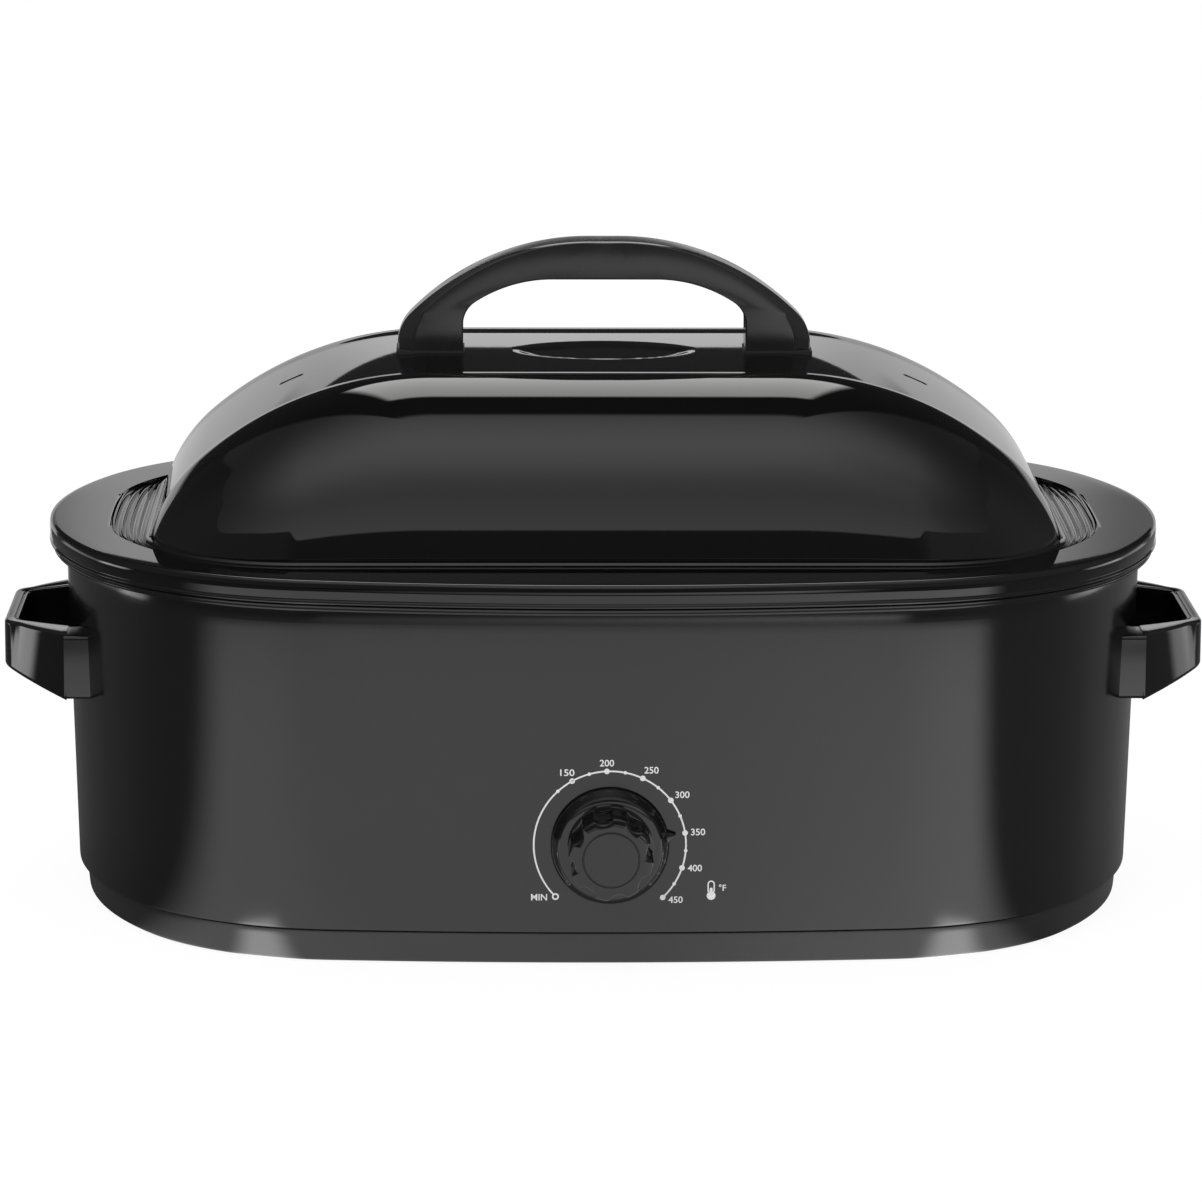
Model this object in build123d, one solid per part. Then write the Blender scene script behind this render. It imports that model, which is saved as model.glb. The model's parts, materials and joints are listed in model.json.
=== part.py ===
import math
import os

from build123d import *

# Electric roaster oven, millimetres.  +Z is up, the control knob faces -Y, +X is the cook's right.
# Every piece is built about the oven's own vertical axis, and moved by ORIGIN_SHIFT on export, so
# that the origin is the bottom centre of the whole oven with its knob.

# ---------------------------------------------------------------- plan outlines
# An oval is (half length, half depth, front arc radius, end arc radius, corner arc radius).
# All of its arcs keep their centres when it grows, so grown ovals are parallel to each other.
FLANGE_OVAL = (277.0, 198.5, 825.0, 240.0, 148.0)   # outer edge of the lid's flange
WRAP_OVAL = (269.0, 185.0, 1505.0, 225.0, 133.0)    # top edge of the outer wrap
BASE_OVAL = (260.5, 179.7, 1580.0, 220.0, 118.0)    # top edge of the base ring
WELL_OVAL = (251.0, 158.0, 1500.0, 380.0, 107.0)    # mouth of the removable pan

# ---------------------------------------------------------------- housing
FOOT_STAND = 0.5            # how far the rubber feet lift the base ring
BASE_TOP = 16.0             # lower edge of the wrap, where the base ring shows below it
WRAP_TOP = 185.9            # upper edge of the wrap
WRAP_WALL = 0.8
WRAP_TAPER = 5.0            # the wrap is this much smaller all round at its lower edge
BASE_TAPER = 1.3            # the base ring narrows this much towards the floor
BASE_WALL = 3.0
BASE_SPIGOT = 4.0           # height of the base ring's lip inside the wrap
BASE_FLANGE = 40.0          # width of the base ring's floor flange
BASE_ROUND = 1.5            # rounding of the base ring's lower edge
SPIGOT_GAP = 0.2
PLATE_WALL = 0.8            # bottom plate
PLATE_MARGIN = 10.0         # gap from the bottom plate's edge to the base ring's wall
FOOT_RADIUS = 11.0
FOOT_RECESS = 1.0
FOOT_STEM = 4.0
FOOT_X = 188.0
FOOT_Y = 116.0
BASE_SCREW_X = 234.0
BASE_SCREW_Y = 32.0
BASE_SCREW_RADIUS = 1.75
BASE_SCREW_HEAD = 3.6
BASE_SCREW_LENGTH = 7.0

# ---------------------------------------------------------------- heating well, pan and heater
PAN_WALL = 0.9
PAN_TAPER = 14.0            # the pan is this much smaller all round at its floor
PAN_FLOOR = 36.0            # underside of the pan's floor
PAN_CORNER = 20.0           # inside radius between the pan's wall and floor
PAN_LIP = 13.8              # height of the pan's turned-down edge
LINER_WALL = 0.9
WELL_GAP = 2.0              # air gap between the pan's wall and the liner
WELL_FLOOR_GAP = 3.0        # air gap under the pan
BAND_BOTTOM = 82.0
BAND_TOP = 135.0
BAND_WALL = 2.5
BAND_SPLIT = 14.0           # width of the heater band's split, at the middle of the back
BAND_SPRING_RADIUS = 1.0
BAND_SPRING_INSET = 12.0
BLANKET_BOTTOM = 97.0
BLANKET_TOP = 150.0
BLANKET_WALL = 7.0
BLANKET_GAP = 0.3
REFLECTOR_Z = 20.0
REFLECTOR_WALL = 0.6
STUD_RADIUS = 3.0
STUD_BELOW = 2.8            # length of the centre stud under the bottom plate
STUD_NUT = 10.0             # across flats
STUD_NUT_HEIGHT = 2.4
SPACER_RADIUS = 6.0
HOLE_GAP = 0.2              # radial gap of the plain holes for studs and screws

# ---------------------------------------------------------------- control
DIAL_Z = 59.5               # height of the knob's axis
SHAFT_RADIUS = 3.0
SHAFT_FLAT = 2.0            # distance from the axis to the shaft's flat
SHAFT_RUN = 0.05            # radial running clearance of the shaft
THERMOSTAT = (36.0, 18.0, 30.0)
THERMOSTAT_BEHIND = 3.5     # gap from the thermostat's front to the wrap's inner face
BUSH_RADIUS = 4.5
BUSH_PROUD = 3.6            # threaded bush beyond the wrap's outer face
NUT_FLATS = 13.0
NUT_HEIGHT = 2.6
BRACKET_WALL = 1.2
BRACKET_LENGTH = 30.0
BRACKET_HEIGHT = 22.0
KNOB_GAP = 1.6              # gap from the wrap's face at the axis to the knob's skirt
KNOB_SKIRT = 28.3
KNOB_SKIRT_HEIGHT = 3.0
KNOB_CONE = 24.5
KNOB_CONE_HEIGHT = 4.0
KNOB_GRIP = 20.2
KNOB_LENGTH = 29.0
KNOB_LOBES = 8
KNOB_LOBE_TURN = 10.0       # first hollow, counter-clockwise from straight up
KNOB_HOLLOW_RADIUS = 6.0
KNOB_HOLLOW_DEPTH = 2.6
KNOB_FACE = 13.5
KNOB_FACE_GROOVE = 0.6
KNOB_RIM_ROUND = 1.2
KNOB_POCKET = 10.0
KNOB_POCKET_DEPTH = 4.6
KNOB_POINTER = 80.5         # clockwise from straight up: the mark that the knob rests at
KNOB_BORE_DEPTH = 18.0

# ---------------------------------------------------------------- wiring
TERMINAL = (42.0, 16.0, 12.0)
TERMINAL_X = 70.0
TERMINAL_Y = 118.0
LEAD_RADIUS = 1.2
LEAD_GAP = 0.4              # gap from a lead's end to the heater band's curved face
LEAD_Z = 10.8
LEAD_SPREAD = 12.0
EARTH_X = 106.0
EARTH_HEAD = 4.0
EARTH_HEAD_HEIGHT = 2.4
GLAND_X = 70.0
GLAND_Z = 30.0
GLAND_RADIUS = 7.8
GLAND_FLANGE = 11.0
GLAND_PROUD = 4.0
GLAND_INSIDE = 7.0
GLAND_BORE = 3.6

# ---------------------------------------------------------------- side handles
HANDLE_TOP = 140.5
HANDLE_ROOT_DROP = 33.0     # height of the arms where they meet the wrap
HANDLE_BAR_DROP = 22.4      # height of the outer bar
HANDLE_SINK = 4.0           # the arms start this far inside the wrap's top edge
HANDLE_LENGTH = 33.0        # from the start of the arms to the bar's outer face
HANDLE_ROOT_HALF = 77.0
HANDLE_BAR_HALF = 41.0
HANDLE_BAR_WALL = 7.3
HANDLE_GRIP_HALF = 52.0     # half width of the finger opening at the wrap
HANDLE_GRIP_END = 36.0      # half width of the finger opening at the bar
HANDLE_BULGE = 1.2          # outward bow of the arms
HANDLE_CORNER = 10.0        # plan radius where the arms turn into the bar
HANDLE_ROUND = 2.2
HANDLE_BOSS_RADIUS = 6.5
HANDLE_SCREW_INSET = 13.0   # from the arm's outer corner at the wrap to its screw
HANDLE_SCREW_RADIUS = 2.0
HANDLE_SCREW_DEPTH = 9.0
HANDLE_SCREW_HEAD = 4.0
HANDLE_SCREW_HEAD_HEIGHT = 2.4

# ---------------------------------------------------------------- lid
LID_WALL = 1.0
LID_LIP_GAP = 0.8           # gap between the lid's lip and the pan's lip
LID_LIP = 11.2              # height of the lid's turned-down edge
LID_EDGE_ROUND = 2.6        # rounding of the flange's top outer edge
DOME_FLAT_HALF = 85.0       # half length of the dome's flat top
DOME_ARCH_RADIUS = 175.0    # upper arc of the dome's ends
DOME_ARCH_TURN = 40.0
DOME_END_RADIUS = 80.0      # lower arc of the dome's ends
DOME_END_TURN = 75.0
DOME_HALF_DEPTH = 149.0
DOME_CORNER = 75.0          # plan radius of the dome's corners; the crease starts at their centres
DIMPLE_HALF = (44.5, 29.0)
DIMPLE_DEPTH = 1.6
RECESS_START = 0.5          # ledge at the dome's foot before the recess
RECESS_REACH = 23.0         # from the dome's foot to the far edge of the recess at each end
RECESS_CORNER = 110.0
RECESS_HALF_DEPTH = 118.0   # half length of the recess across the oven
RECESS_DEPTH = 3.0
RECESS_RIBS = 3
RIB_WIDTH = 3.0
RIB_HEIGHT = 2.2
RIB_INSET = 8.0             # the ribs end this far short of the recess's ends
SLIT_X = 156.0
SLIT = (12.0, 2.0)
LID_GRIP_TOP = 55.8         # top of the handle above the dome's flat top
LID_GRIP_UNDER = 36.8       # underside of the handle above the dome's flat top
LID_GRIP_FLAT = 8.0
LID_GRIP_ARC = 125.0
LID_GRIP_ARC_TURN = 45.0
LID_GRIP_SHOULDER = 22.0
LID_GRIP_INNER_FLAT = 26.0
LID_GRIP_INNER_ARC = 70.0
LID_GRIP_INNER_TURN = 33.0
LID_GRIP_INNER_CORNER = 13.3
LID_GRIP_DEPTH = 25.0
LID_GRIP_ROUND = 2.0
GASKET_WALL = 1.2
GASKET_MARGIN = 0.6
LID_SCREW_INSET = 9.5       # from the foot's inner face to its screw
LID_SCREW_RADIUS = 2.0
LID_SCREW_DEPTH = 14.0
LID_SCREW_HEAD = 4.0
LID_SCREW_HEAD_HEIGHT = 2.5
LID_WASHER_RADIUS = 5.0
LID_WASHER_WALL = 1.0

# ---------------------------------------------------------------- rack
RACK_HALF_LENGTH = 190.0
RACK_HALF_DEPTH = 106.0
RACK_CORNER = 50.0
RACK_FRAME = 2.5            # radius of the frame rod
RACK_WIRE = 1.5
RACK_BARS = 9
RACK_RISE = 15.0            # height of the frame rod's axis above the pan's floor
RACK_LEG_X = 120.0

# ---------------------------------------------------------------- sizes that follow
LINER_TOP = WRAP_TOP + LINER_WALL
PAN_TOP = LINER_TOP + PAN_WALL
FLANGE_TOP = PAN_TOP + LID_WALL
LINER_FLOOR = PAN_FLOOR - WELL_FLOOR_GAP
PLATE_Z = FOOT_STAND + BASE_WALL
PLATE_TOP = PLATE_Z + PLATE_WALL
LINER_INSIDE = PAN_WALL + WELL_GAP
LINER_OUTSIDE = LINER_INSIDE + LINER_WALL
BAND_OUTSIDE = LINER_OUTSIDE + BAND_WALL
HANDLE_PLANE = WRAP_OVAL[0] - HANDLE_SINK
HANDLE_REACH = HANDLE_PLANE + HANDLE_LENGTH
HANDLE_SCREW_Y = HANDLE_ROOT_HALF - HANDLE_SCREW_INSET
TINY = 0.01

DOME_ARCH_SINE = math.sin(math.radians(DOME_ARCH_TURN))
DOME_ARCH_COSINE = math.cos(math.radians(DOME_ARCH_TURN))
DOME_END_SINE = math.sin(math.radians(DOME_END_TURN))
DOME_END_COSINE = math.cos(math.radians(DOME_END_TURN))
DOME_HEIGHT = (
    DOME_ARCH_RADIUS * (1 - DOME_ARCH_COSINE)
    + DOME_END_RADIUS * (DOME_ARCH_COSINE - DOME_END_COSINE)
)
DOME_HALF_LENGTH = (
    DOME_FLAT_HALF
    + DOME_ARCH_RADIUS * DOME_ARCH_SINE
    + DOME_END_RADIUS * (DOME_END_SINE - DOME_ARCH_SINE)
)
DOME_TOP = FLANGE_TOP + DOME_HEIGHT
CREASE_Y = DOME_HALF_DEPTH - DOME_CORNER
DOME_CORNER_X = DOME_HALF_LENGTH - DOME_CORNER


def wrap_grow(z):
    """Growth of the wrap's oval at height z."""
    return -WRAP_TAPER * (WRAP_TOP - z) / (WRAP_TOP - BASE_TOP)


def well_grow(z):
    """Growth of the pan's inner oval at height z."""
    return -PAN_TAPER * (PAN_TOP - z) / (PAN_TOP - PAN_FLOOR)


WRAP_FRONT = WRAP_OVAL[1] + wrap_grow(DIAL_Z)
KNOB_BACK = WRAP_FRONT + KNOB_GAP
ORIGIN_SHIFT = (KNOB_BACK + KNOB_LENGTH - FLANGE_OVAL[1]) / 2


# ---------------------------------------------------------------- plan shapes
def oval_face(shape, grow=0.0, z=0.0):
    """Flat face bounded by eight tangent arcs, parallel to the shape at the distance grow."""
    half_length, half_depth, front, end, corner = (size + grow for size in shape)
    front_centre = Vector(0, half_depth - front)
    end_centre = Vector(half_length - end, 0)
    between = end_centre - front_centre
    span = between.length
    reach = front - corner
    along = (reach**2 - (end - corner) ** 2 + span**2) / (2 * span)
    across = math.sqrt(reach**2 - along**2)
    unit = between.normalized()
    corner_centre = front_centre + unit * along + Vector(unit.Y, -unit.X) * across
    front_way = (corner_centre - front_centre).normalized()
    end_way = (corner_centre - end_centre).normalized()
    front_join = front_centre + front_way * front
    end_join = end_centre + end_way * end
    corner_middle = corner_centre + (front_way + end_way).normalized() * corner
    quarter = [end_join, corner_middle, front_join]
    ring = [Vector(half_length, 0)] + quarter
    ring += [Vector(0, half_depth)]
    ring += [Vector(-p.X, p.Y) for p in reversed(quarter)]
    ring += [Vector(-half_length, 0)]
    ring += [Vector(-p.X, -p.Y) for p in quarter]
    ring += [Vector(0, -half_depth)]
    ring += [Vector(p.X, -p.Y) for p in reversed(quarter)]
    count = len(ring)
    edges = []
    for start in range(1, count, 2):
        edges.append(
            ThreePointArc(ring[start], ring[(start + 1) % count], ring[(start + 2) % count])
        )
    return Pos(0, 0, z) * Face(Wire(edges))


def slab(face, height):
    """Upright prism on a flat face."""
    return extrude(face, amount=height, dir=(0, 0, 1))


def oval_slab(shape, grow, bottom, top):
    return slab(oval_face(shape, grow, bottom), top - bottom)


def tapered(shape, bottom, bottom_grow, top, top_grow):
    """Conical solid between two parallel ovals."""
    lower = oval_face(shape, bottom_grow, bottom)
    upper = oval_face(shape, top_grow, top)
    return loft([lower, upper], ruled=True)


def wrap_solid(extra, bottom=BASE_TOP, top=WRAP_TOP):
    """The wrap's tapered form, grown by extra."""
    return tapered(
        WRAP_OVAL, bottom, wrap_grow(bottom) + extra, top, wrap_grow(top) + extra
    )


def well_solid(extra, bottom, top):
    """The pan's tapered inner form, grown by extra."""
    return tapered(
        WELL_OVAL, bottom, well_grow(bottom) + extra, top, well_grow(top) + extra
    )


def rounded_block(half_length, half_depth, corner, bottom, top):
    outline = RectangleRounded(2 * half_length, 2 * half_depth, corner)
    return slab(Pos(0, 0, bottom) * outline, top - bottom)


def rod_x(radius, start, end, y, z):
    """Cylinder along X."""
    middle = Pos((start + end) / 2, y, z)
    return middle * Rot(0, 90, 0) * Cylinder(radius, abs(end - start))


def rod_y(radius, start, end, x, z):
    """Cylinder along Y."""
    middle = Pos(x, (start + end) / 2, z)
    return middle * Rot(90, 0, 0) * Cylinder(radius, abs(end - start))


def rod_z(radius, bottom, top, x=0.0, y=0.0):
    """Upright cylinder."""
    return Pos(x, y, (bottom + top) / 2) * Cylinder(radius, top - bottom)


# ---------------------------------------------------------------- outer wrap and base
def outer_wrap():
    """Painted steel wrap with its holes for the thermostat, the gland and the handle screws."""
    wrap = wrap_solid(0) - wrap_solid(-WRAP_WALL)
    front = -WRAP_OVAL[1]
    wrap -= rod_y(BUSH_RADIUS + HOLE_GAP, 1.1 * front, 0.9 * front, 0, DIAL_Z)
    wrap -= rod_y(GLAND_RADIUS + HOLE_GAP, -0.9 * front, -1.1 * front, GLAND_X, GLAND_Z)
    hole = HANDLE_SCREW_RADIUS + HOLE_GAP
    for side in (-1, 1):
        for y in (-HANDLE_SCREW_Y, HANDLE_SCREW_Y):
            wrap -= rod_x(hole, 0, side * HANDLE_REACH, y, handle_screw_z())
    return wrap


def base_ring():
    """Plastic ring under the wrap, with an inner lip, and a floor flange for plate and feet."""
    ring = tapered(BASE_OVAL, FOOT_STAND, -BASE_TAPER, BASE_TOP, 0)
    ring = fillet(ring.edges().group_by(Axis.Z)[0], BASE_ROUND)
    spigot_grow = wrap_grow(BASE_TOP) - WRAP_WALL - SPIGOT_GAP
    ring += oval_slab(WRAP_OVAL, spigot_grow, BASE_TOP, BASE_TOP + BASE_SPIGOT)
    inside = -BASE_TAPER - BASE_WALL
    ring -= oval_slab(BASE_OVAL, inside, PLATE_Z, BASE_TOP + 2 * BASE_SPIGOT)
    ring -= oval_slab(BASE_OVAL, -BASE_TAPER - BASE_FLANGE, 0, PLATE_Z + TINY)
    for foot in FEET.values():
        ring -= foot
    for screw in BASE_SCREWS.values():
        ring -= screw
    return ring


def bottom_plate():
    """Steel plate that closes the base."""
    grow = -BASE_TAPER - BASE_WALL - PLATE_MARGIN
    plate = oval_slab(BASE_OVAL, grow, PLATE_Z, PLATE_TOP)
    plate -= rod_z(STUD_RADIUS + HOLE_GAP, 0, PLATE_TOP + 1)
    for screw in BASE_SCREWS.values():
        plate -= screw
    plate -= earth_screw()
    return plate


def foot(x, y):
    """Rubber foot with a stem that fills its hole in the base ring."""
    pad = rod_z(FOOT_RADIUS, 0, FOOT_STAND + FOOT_RECESS, x, y)
    return pad + rod_z(FOOT_STEM, FOOT_STAND, PLATE_Z, x, y)


def base_screw(x, y):
    """Countersunk screw from below, through the base ring into the bottom plate."""
    head_height = BASE_SCREW_HEAD - BASE_SCREW_RADIUS
    head = Pos(x, y, FOOT_STAND + head_height / 2) * Cone(
        BASE_SCREW_HEAD, BASE_SCREW_RADIUS, head_height
    )
    return head + rod_z(BASE_SCREW_RADIUS, FOOT_STAND, FOOT_STAND + BASE_SCREW_LENGTH, x, y)


# ---------------------------------------------------------------- heating well and heater
def liner():
    """Steel heating well: a flange on the wrap's top edge, a tapered wall and a floor."""
    outer = well_solid(LINER_OUTSIDE, LINER_FLOOR - LINER_WALL, LINER_TOP)
    outer = fillet(outer.edges().group_by(Axis.Z)[0], PAN_CORNER + LINER_OUTSIDE)
    inner = well_solid(LINER_INSIDE, LINER_FLOOR, LINER_TOP + 1)
    inner = fillet(inner.edges().group_by(Axis.Z)[0], PAN_CORNER + LINER_INSIDE)
    well = outer + oval_slab(WRAP_OVAL, 0, WRAP_TOP, LINER_TOP)
    return well - inner


def centre_stud():
    """Stud welded under the liner's floor, which ties reflector and bottom plate to it."""
    return rod_z(STUD_RADIUS, PLATE_Z - STUD_BELOW, LINER_FLOOR - LINER_WALL)


def stud_nut():
    nut = slab(
        Pos(0, 0, PLATE_Z - STUD_NUT_HEIGHT)
        * RegularPolygon(STUD_NUT / 2, 6, major_radius=False),
        STUD_NUT_HEIGHT,
    )
    return nut - centre_stud()


def spacer(bottom, top):
    """Sleeve on the centre stud."""
    return rod_z(SPACER_RADIUS, bottom, top) - rod_z(STUD_RADIUS + HOLE_GAP, bottom, top)


def reflector():
    """Bright sheet that throws the heat back up from under the well."""
    sheet = well_solid(0, REFLECTOR_Z, REFLECTOR_Z + REFLECTOR_WALL)
    return sheet - rod_z(STUD_RADIUS + HOLE_GAP, REFLECTOR_Z - 1, PAN_FLOOR)


def heater_band():
    """Heater wire in a strip that is wrapped round the liner, and split at the back."""
    band = well_solid(BAND_OUTSIDE, BAND_BOTTOM, BAND_TOP)
    band -= well_solid(LINER_OUTSIDE, BAND_BOTTOM, BAND_TOP)
    middle = (BAND_BOTTOM + BAND_TOP) / 2
    cut = Box(BAND_SPLIT, WELL_OVAL[1], BAND_TOP - BAND_BOTTOM + 1)
    return band - Pos(0, WELL_OVAL[1], middle) * cut


def band_spring(z):
    """Tension spring across the heater band's split, drawn as its outer cylinder."""
    y = WELL_OVAL[1] + well_grow(z) + LINER_OUTSIDE + BAND_WALL / 2
    return rod_x(BAND_SPRING_RADIUS, -BAND_SPLIT / 2, BAND_SPLIT / 2, y, z)


def insulation():
    """Glass fibre blanket round the heater band."""
    inside = BAND_OUTSIDE + BLANKET_GAP
    blanket = well_solid(inside + BLANKET_WALL, BLANKET_BOTTOM, BLANKET_TOP)
    return blanket - well_solid(inside, BLANKET_BOTTOM, BLANKET_TOP)


# ---------------------------------------------------------------- thermostat and knob
THERMOSTAT_FRONT = WRAP_FRONT - WRAP_WALL - THERMOSTAT_BEHIND
THERMOSTAT_BACK = THERMOSTAT_FRONT - THERMOSTAT[1]
SHAFT_INNER = THERMOSTAT_FRONT - THERMOSTAT[1] / 2
SHAFT_OUTER = KNOB_BACK + KNOB_BORE_DEPTH


def thermostat_body():
    """Thermostat with the threaded bush that carries its shaft."""
    body = Pos(0, -(THERMOSTAT_FRONT + THERMOSTAT_BACK) / 2, DIAL_Z) * Box(*THERMOSTAT)
    body += rod_y(BUSH_RADIUS, -WRAP_FRONT - BUSH_PROUD, -THERMOSTAT_FRONT, 0, DIAL_Z)
    bore = SHAFT_RADIUS + SHAFT_RUN
    body -= rod_y(bore, -SHAFT_OUTER, -SHAFT_INNER + SHAFT_RUN, 0, DIAL_Z)
    return body


def thermostat_shaft():
    """Turning shaft with a flat for the knob."""
    shaft = rod_y(SHAFT_RADIUS, -SHAFT_OUTER, -SHAFT_INNER, 0, DIAL_Z)
    flat_start = KNOB_BACK + KNOB_POCKET_DEPTH
    flat = Box(2 * SHAFT_RADIUS, SHAFT_OUTER - flat_start, 2 * SHAFT_RADIUS)
    flat = Pos(0, -(SHAFT_OUTER + flat_start) / 2, SHAFT_FLAT + SHAFT_RADIUS) * flat
    return shaft - Pos(0, 0, DIAL_Z) * flat


def thermostat_nut():
    """Nut on the bush, outside the wrap and inside the knob's pocket."""
    hexagon = RegularPolygon(NUT_FLATS / 2, 6, major_radius=False)
    nut = extrude(hexagon, amount=NUT_HEIGHT + WRAP_WALL)
    nut = Pos(0, -WRAP_FRONT + WRAP_WALL, DIAL_Z) * Rot(90, 0, 0) * nut
    nut -= wrap_solid(0)
    return nut - rod_y(BUSH_RADIUS, -WRAP_FRONT - 2 * NUT_HEIGHT, 0, 0, DIAL_Z)


def thermostat_bracket():
    """Hat-shaped bracket that presses the thermostat's back to the liner."""
    reach = THERMOSTAT_BACK - WELL_OVAL[1] / 2
    block = Box(BRACKET_LENGTH, reach, BRACKET_HEIGHT)
    bracket = Pos(0, -THERMOSTAT_BACK + reach / 2, DIAL_Z) * block
    hollow = Box(BRACKET_LENGTH - 2 * BRACKET_WALL, reach, BRACKET_HEIGHT + 1)
    bracket -= Pos(0, -THERMOSTAT_BACK + BRACKET_WALL + reach / 2, DIAL_Z) * hollow
    return bracket - well_solid(LINER_OUTSIDE, PAN_FLOOR, PAN_TOP)


def control_knob():
    """Knob with a skirt, a scalloped grip and a flat round face; its axis is local Z."""
    knob = Pos(0, 0, KNOB_SKIRT_HEIGHT / 2) * Cylinder(KNOB_SKIRT, KNOB_SKIRT_HEIGHT)
    knob = fillet(knob.edges().group_by(Axis.Z)[-1], KNOB_RIM_ROUND)
    cone_middle = KNOB_SKIRT_HEIGHT + KNOB_CONE_HEIGHT / 2
    knob += Pos(0, 0, cone_middle) * Cone(KNOB_CONE, KNOB_GRIP, KNOB_CONE_HEIGHT)
    grip = Pos(0, 0, KNOB_LENGTH / 2) * Cylinder(KNOB_GRIP, KNOB_LENGTH)
    grip = fillet(grip.edges().group_by(Axis.Z)[-1], KNOB_RIM_ROUND)
    hollow_at = KNOB_GRIP + KNOB_HOLLOW_RADIUS - KNOB_HOLLOW_DEPTH
    hollow_low = KNOB_SKIRT_HEIGHT + KNOB_CONE_HEIGHT
    hollow = rod_z(KNOB_HOLLOW_RADIUS, hollow_low, KNOB_LENGTH + 1, 0, hollow_at)
    for lobe in range(KNOB_LOBES):
        turn = KNOB_LOBE_TURN + lobe * 360 / KNOB_LOBES
        grip -= Rot(0, 0, turn) * hollow
    knob += grip
    groove = rod_z(KNOB_FACE, KNOB_LENGTH - KNOB_FACE_GROOVE, KNOB_LENGTH + 1)
    groove -= rod_z(KNOB_FACE - KNOB_FACE_GROOVE, 0, KNOB_LENGTH + 2)
    knob -= groove
    knob -= rod_z(KNOB_POCKET, -1, KNOB_POCKET_DEPTH)
    pointer_at = (KNOB_SKIRT - KNOB_RIM_ROUND + KNOB_CONE) / 2
    mark = Cylinder(KNOB_FACE_GROOVE, 2 * KNOB_FACE_GROOVE)
    knob -= Rot(0, 0, -KNOB_POINTER) * Pos(0, pointer_at, KNOB_SKIRT_HEIGHT) * mark
    knob = Pos(0, -KNOB_BACK, DIAL_Z) * Rot(90, 0, 0) * knob
    return knob - thermostat_shaft()


# ---------------------------------------------------------------- wiring
def lead(*points, bend=5.0):
    """Round lead along straight runs that are joined by tangent arcs."""
    path = FilletPolyline(*points, radius=bend)
    section = Plane(origin=path @ 0, z_dir=path % 0) * Circle(LEAD_RADIUS)
    return sweep(section, path=path)


def band_face(x, z):
    """Distance from the oven's axis to the heater band's front or back face at x."""
    front = WELL_OVAL[2] + well_grow(z) + BAND_OUTSIDE
    drop = front - math.sqrt(front**2 - x**2)
    return WELL_OVAL[1] + well_grow(z) + BAND_OUTSIDE - drop


LEAD_UP = (THERMOSTAT_FRONT + THERMOSTAT_BACK) / 2
BAND_LEAD_Z = (BAND_BOTTOM + BLANKET_BOTTOM) / 2


def terminal_block():
    middle = Pos(TERMINAL_X, TERMINAL_Y, PLATE_TOP + TERMINAL[2] / 2)
    return middle * Box(*TERMINAL)


def live_lead():
    """From the terminal block, under the well, to the thermostat."""
    x = TERMINAL_X - LEAD_SPREAD
    start = TERMINAL_Y - TERMINAL[1] / 2
    return lead(
        (x, start, LEAD_Z),
        (x, start - 60, LEAD_Z),
        (-LEAD_SPREAD, start - 170, LEAD_Z),
        (-LEAD_SPREAD, -LEAD_UP, LEAD_Z),
        (-LEAD_SPREAD, -LEAD_UP, DIAL_Z - THERMOSTAT[2] / 2),
        bend=8.0,
    )


def load_lead():
    """From the thermostat to the heater band."""
    face = band_face(LEAD_SPREAD, BAND_LEAD_Z) + LEAD_GAP
    return lead(
        (LEAD_SPREAD, -LEAD_UP, DIAL_Z + THERMOSTAT[2] / 2),
        (LEAD_SPREAD, -LEAD_UP, BAND_LEAD_Z),
        (LEAD_SPREAD, -face, BAND_LEAD_Z),
    )


def neutral_lead():
    """From the heater band back to the terminal block."""
    x = TERMINAL_X + LEAD_SPREAD
    face = band_face(x, BAND_LEAD_Z) + LEAD_GAP
    return lead(
        (x, TERMINAL_Y + TERMINAL[1] / 2, LEAD_Z),
        (x, LEAD_UP, LEAD_Z),
        (x, LEAD_UP, BAND_LEAD_Z),
        (x, face, BAND_LEAD_Z),
    )


def earth_lead():
    """From the terminal block to the earth screw."""
    return lead(
        (TERMINAL_X + TERMINAL[0] / 2, TERMINAL_Y, LEAD_Z + 2),
        (EARTH_X, TERMINAL_Y, LEAD_Z + 2),
        (EARTH_X, TERMINAL_Y, PLATE_TOP + EARTH_HEAD_HEIGHT),
        bend=3.0,
    )


def earth_screw():
    head = rod_z(EARTH_HEAD, PLATE_TOP, PLATE_TOP + EARTH_HEAD_HEIGHT, EARTH_X, TERMINAL_Y)
    return head + rod_z(BASE_SCREW_RADIUS, PLATE_Z - 1, PLATE_TOP, EARTH_X, TERMINAL_Y)


def cord_gland():
    """Rear gland that a power cord passes through."""
    grow = wrap_grow(GLAND_Z)
    face = WRAP_OVAL[1] + grow
    wall = face - WRAP_WALL
    gland = rod_y(GLAND_FLANGE, wall - WRAP_WALL, face + GLAND_PROUD, GLAND_X, GLAND_Z)
    gland -= wrap_solid(0)
    gland += rod_y(GLAND_RADIUS, wall - GLAND_INSIDE, face + TINY, GLAND_X, GLAND_Z)
    return gland - rod_y(GLAND_BORE, 0, 2 * face, GLAND_X, GLAND_Z)


# ---------------------------------------------------------------- side handles
def handle_screw_z():
    return HANDLE_TOP - HANDLE_ROOT_DROP / 2


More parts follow.
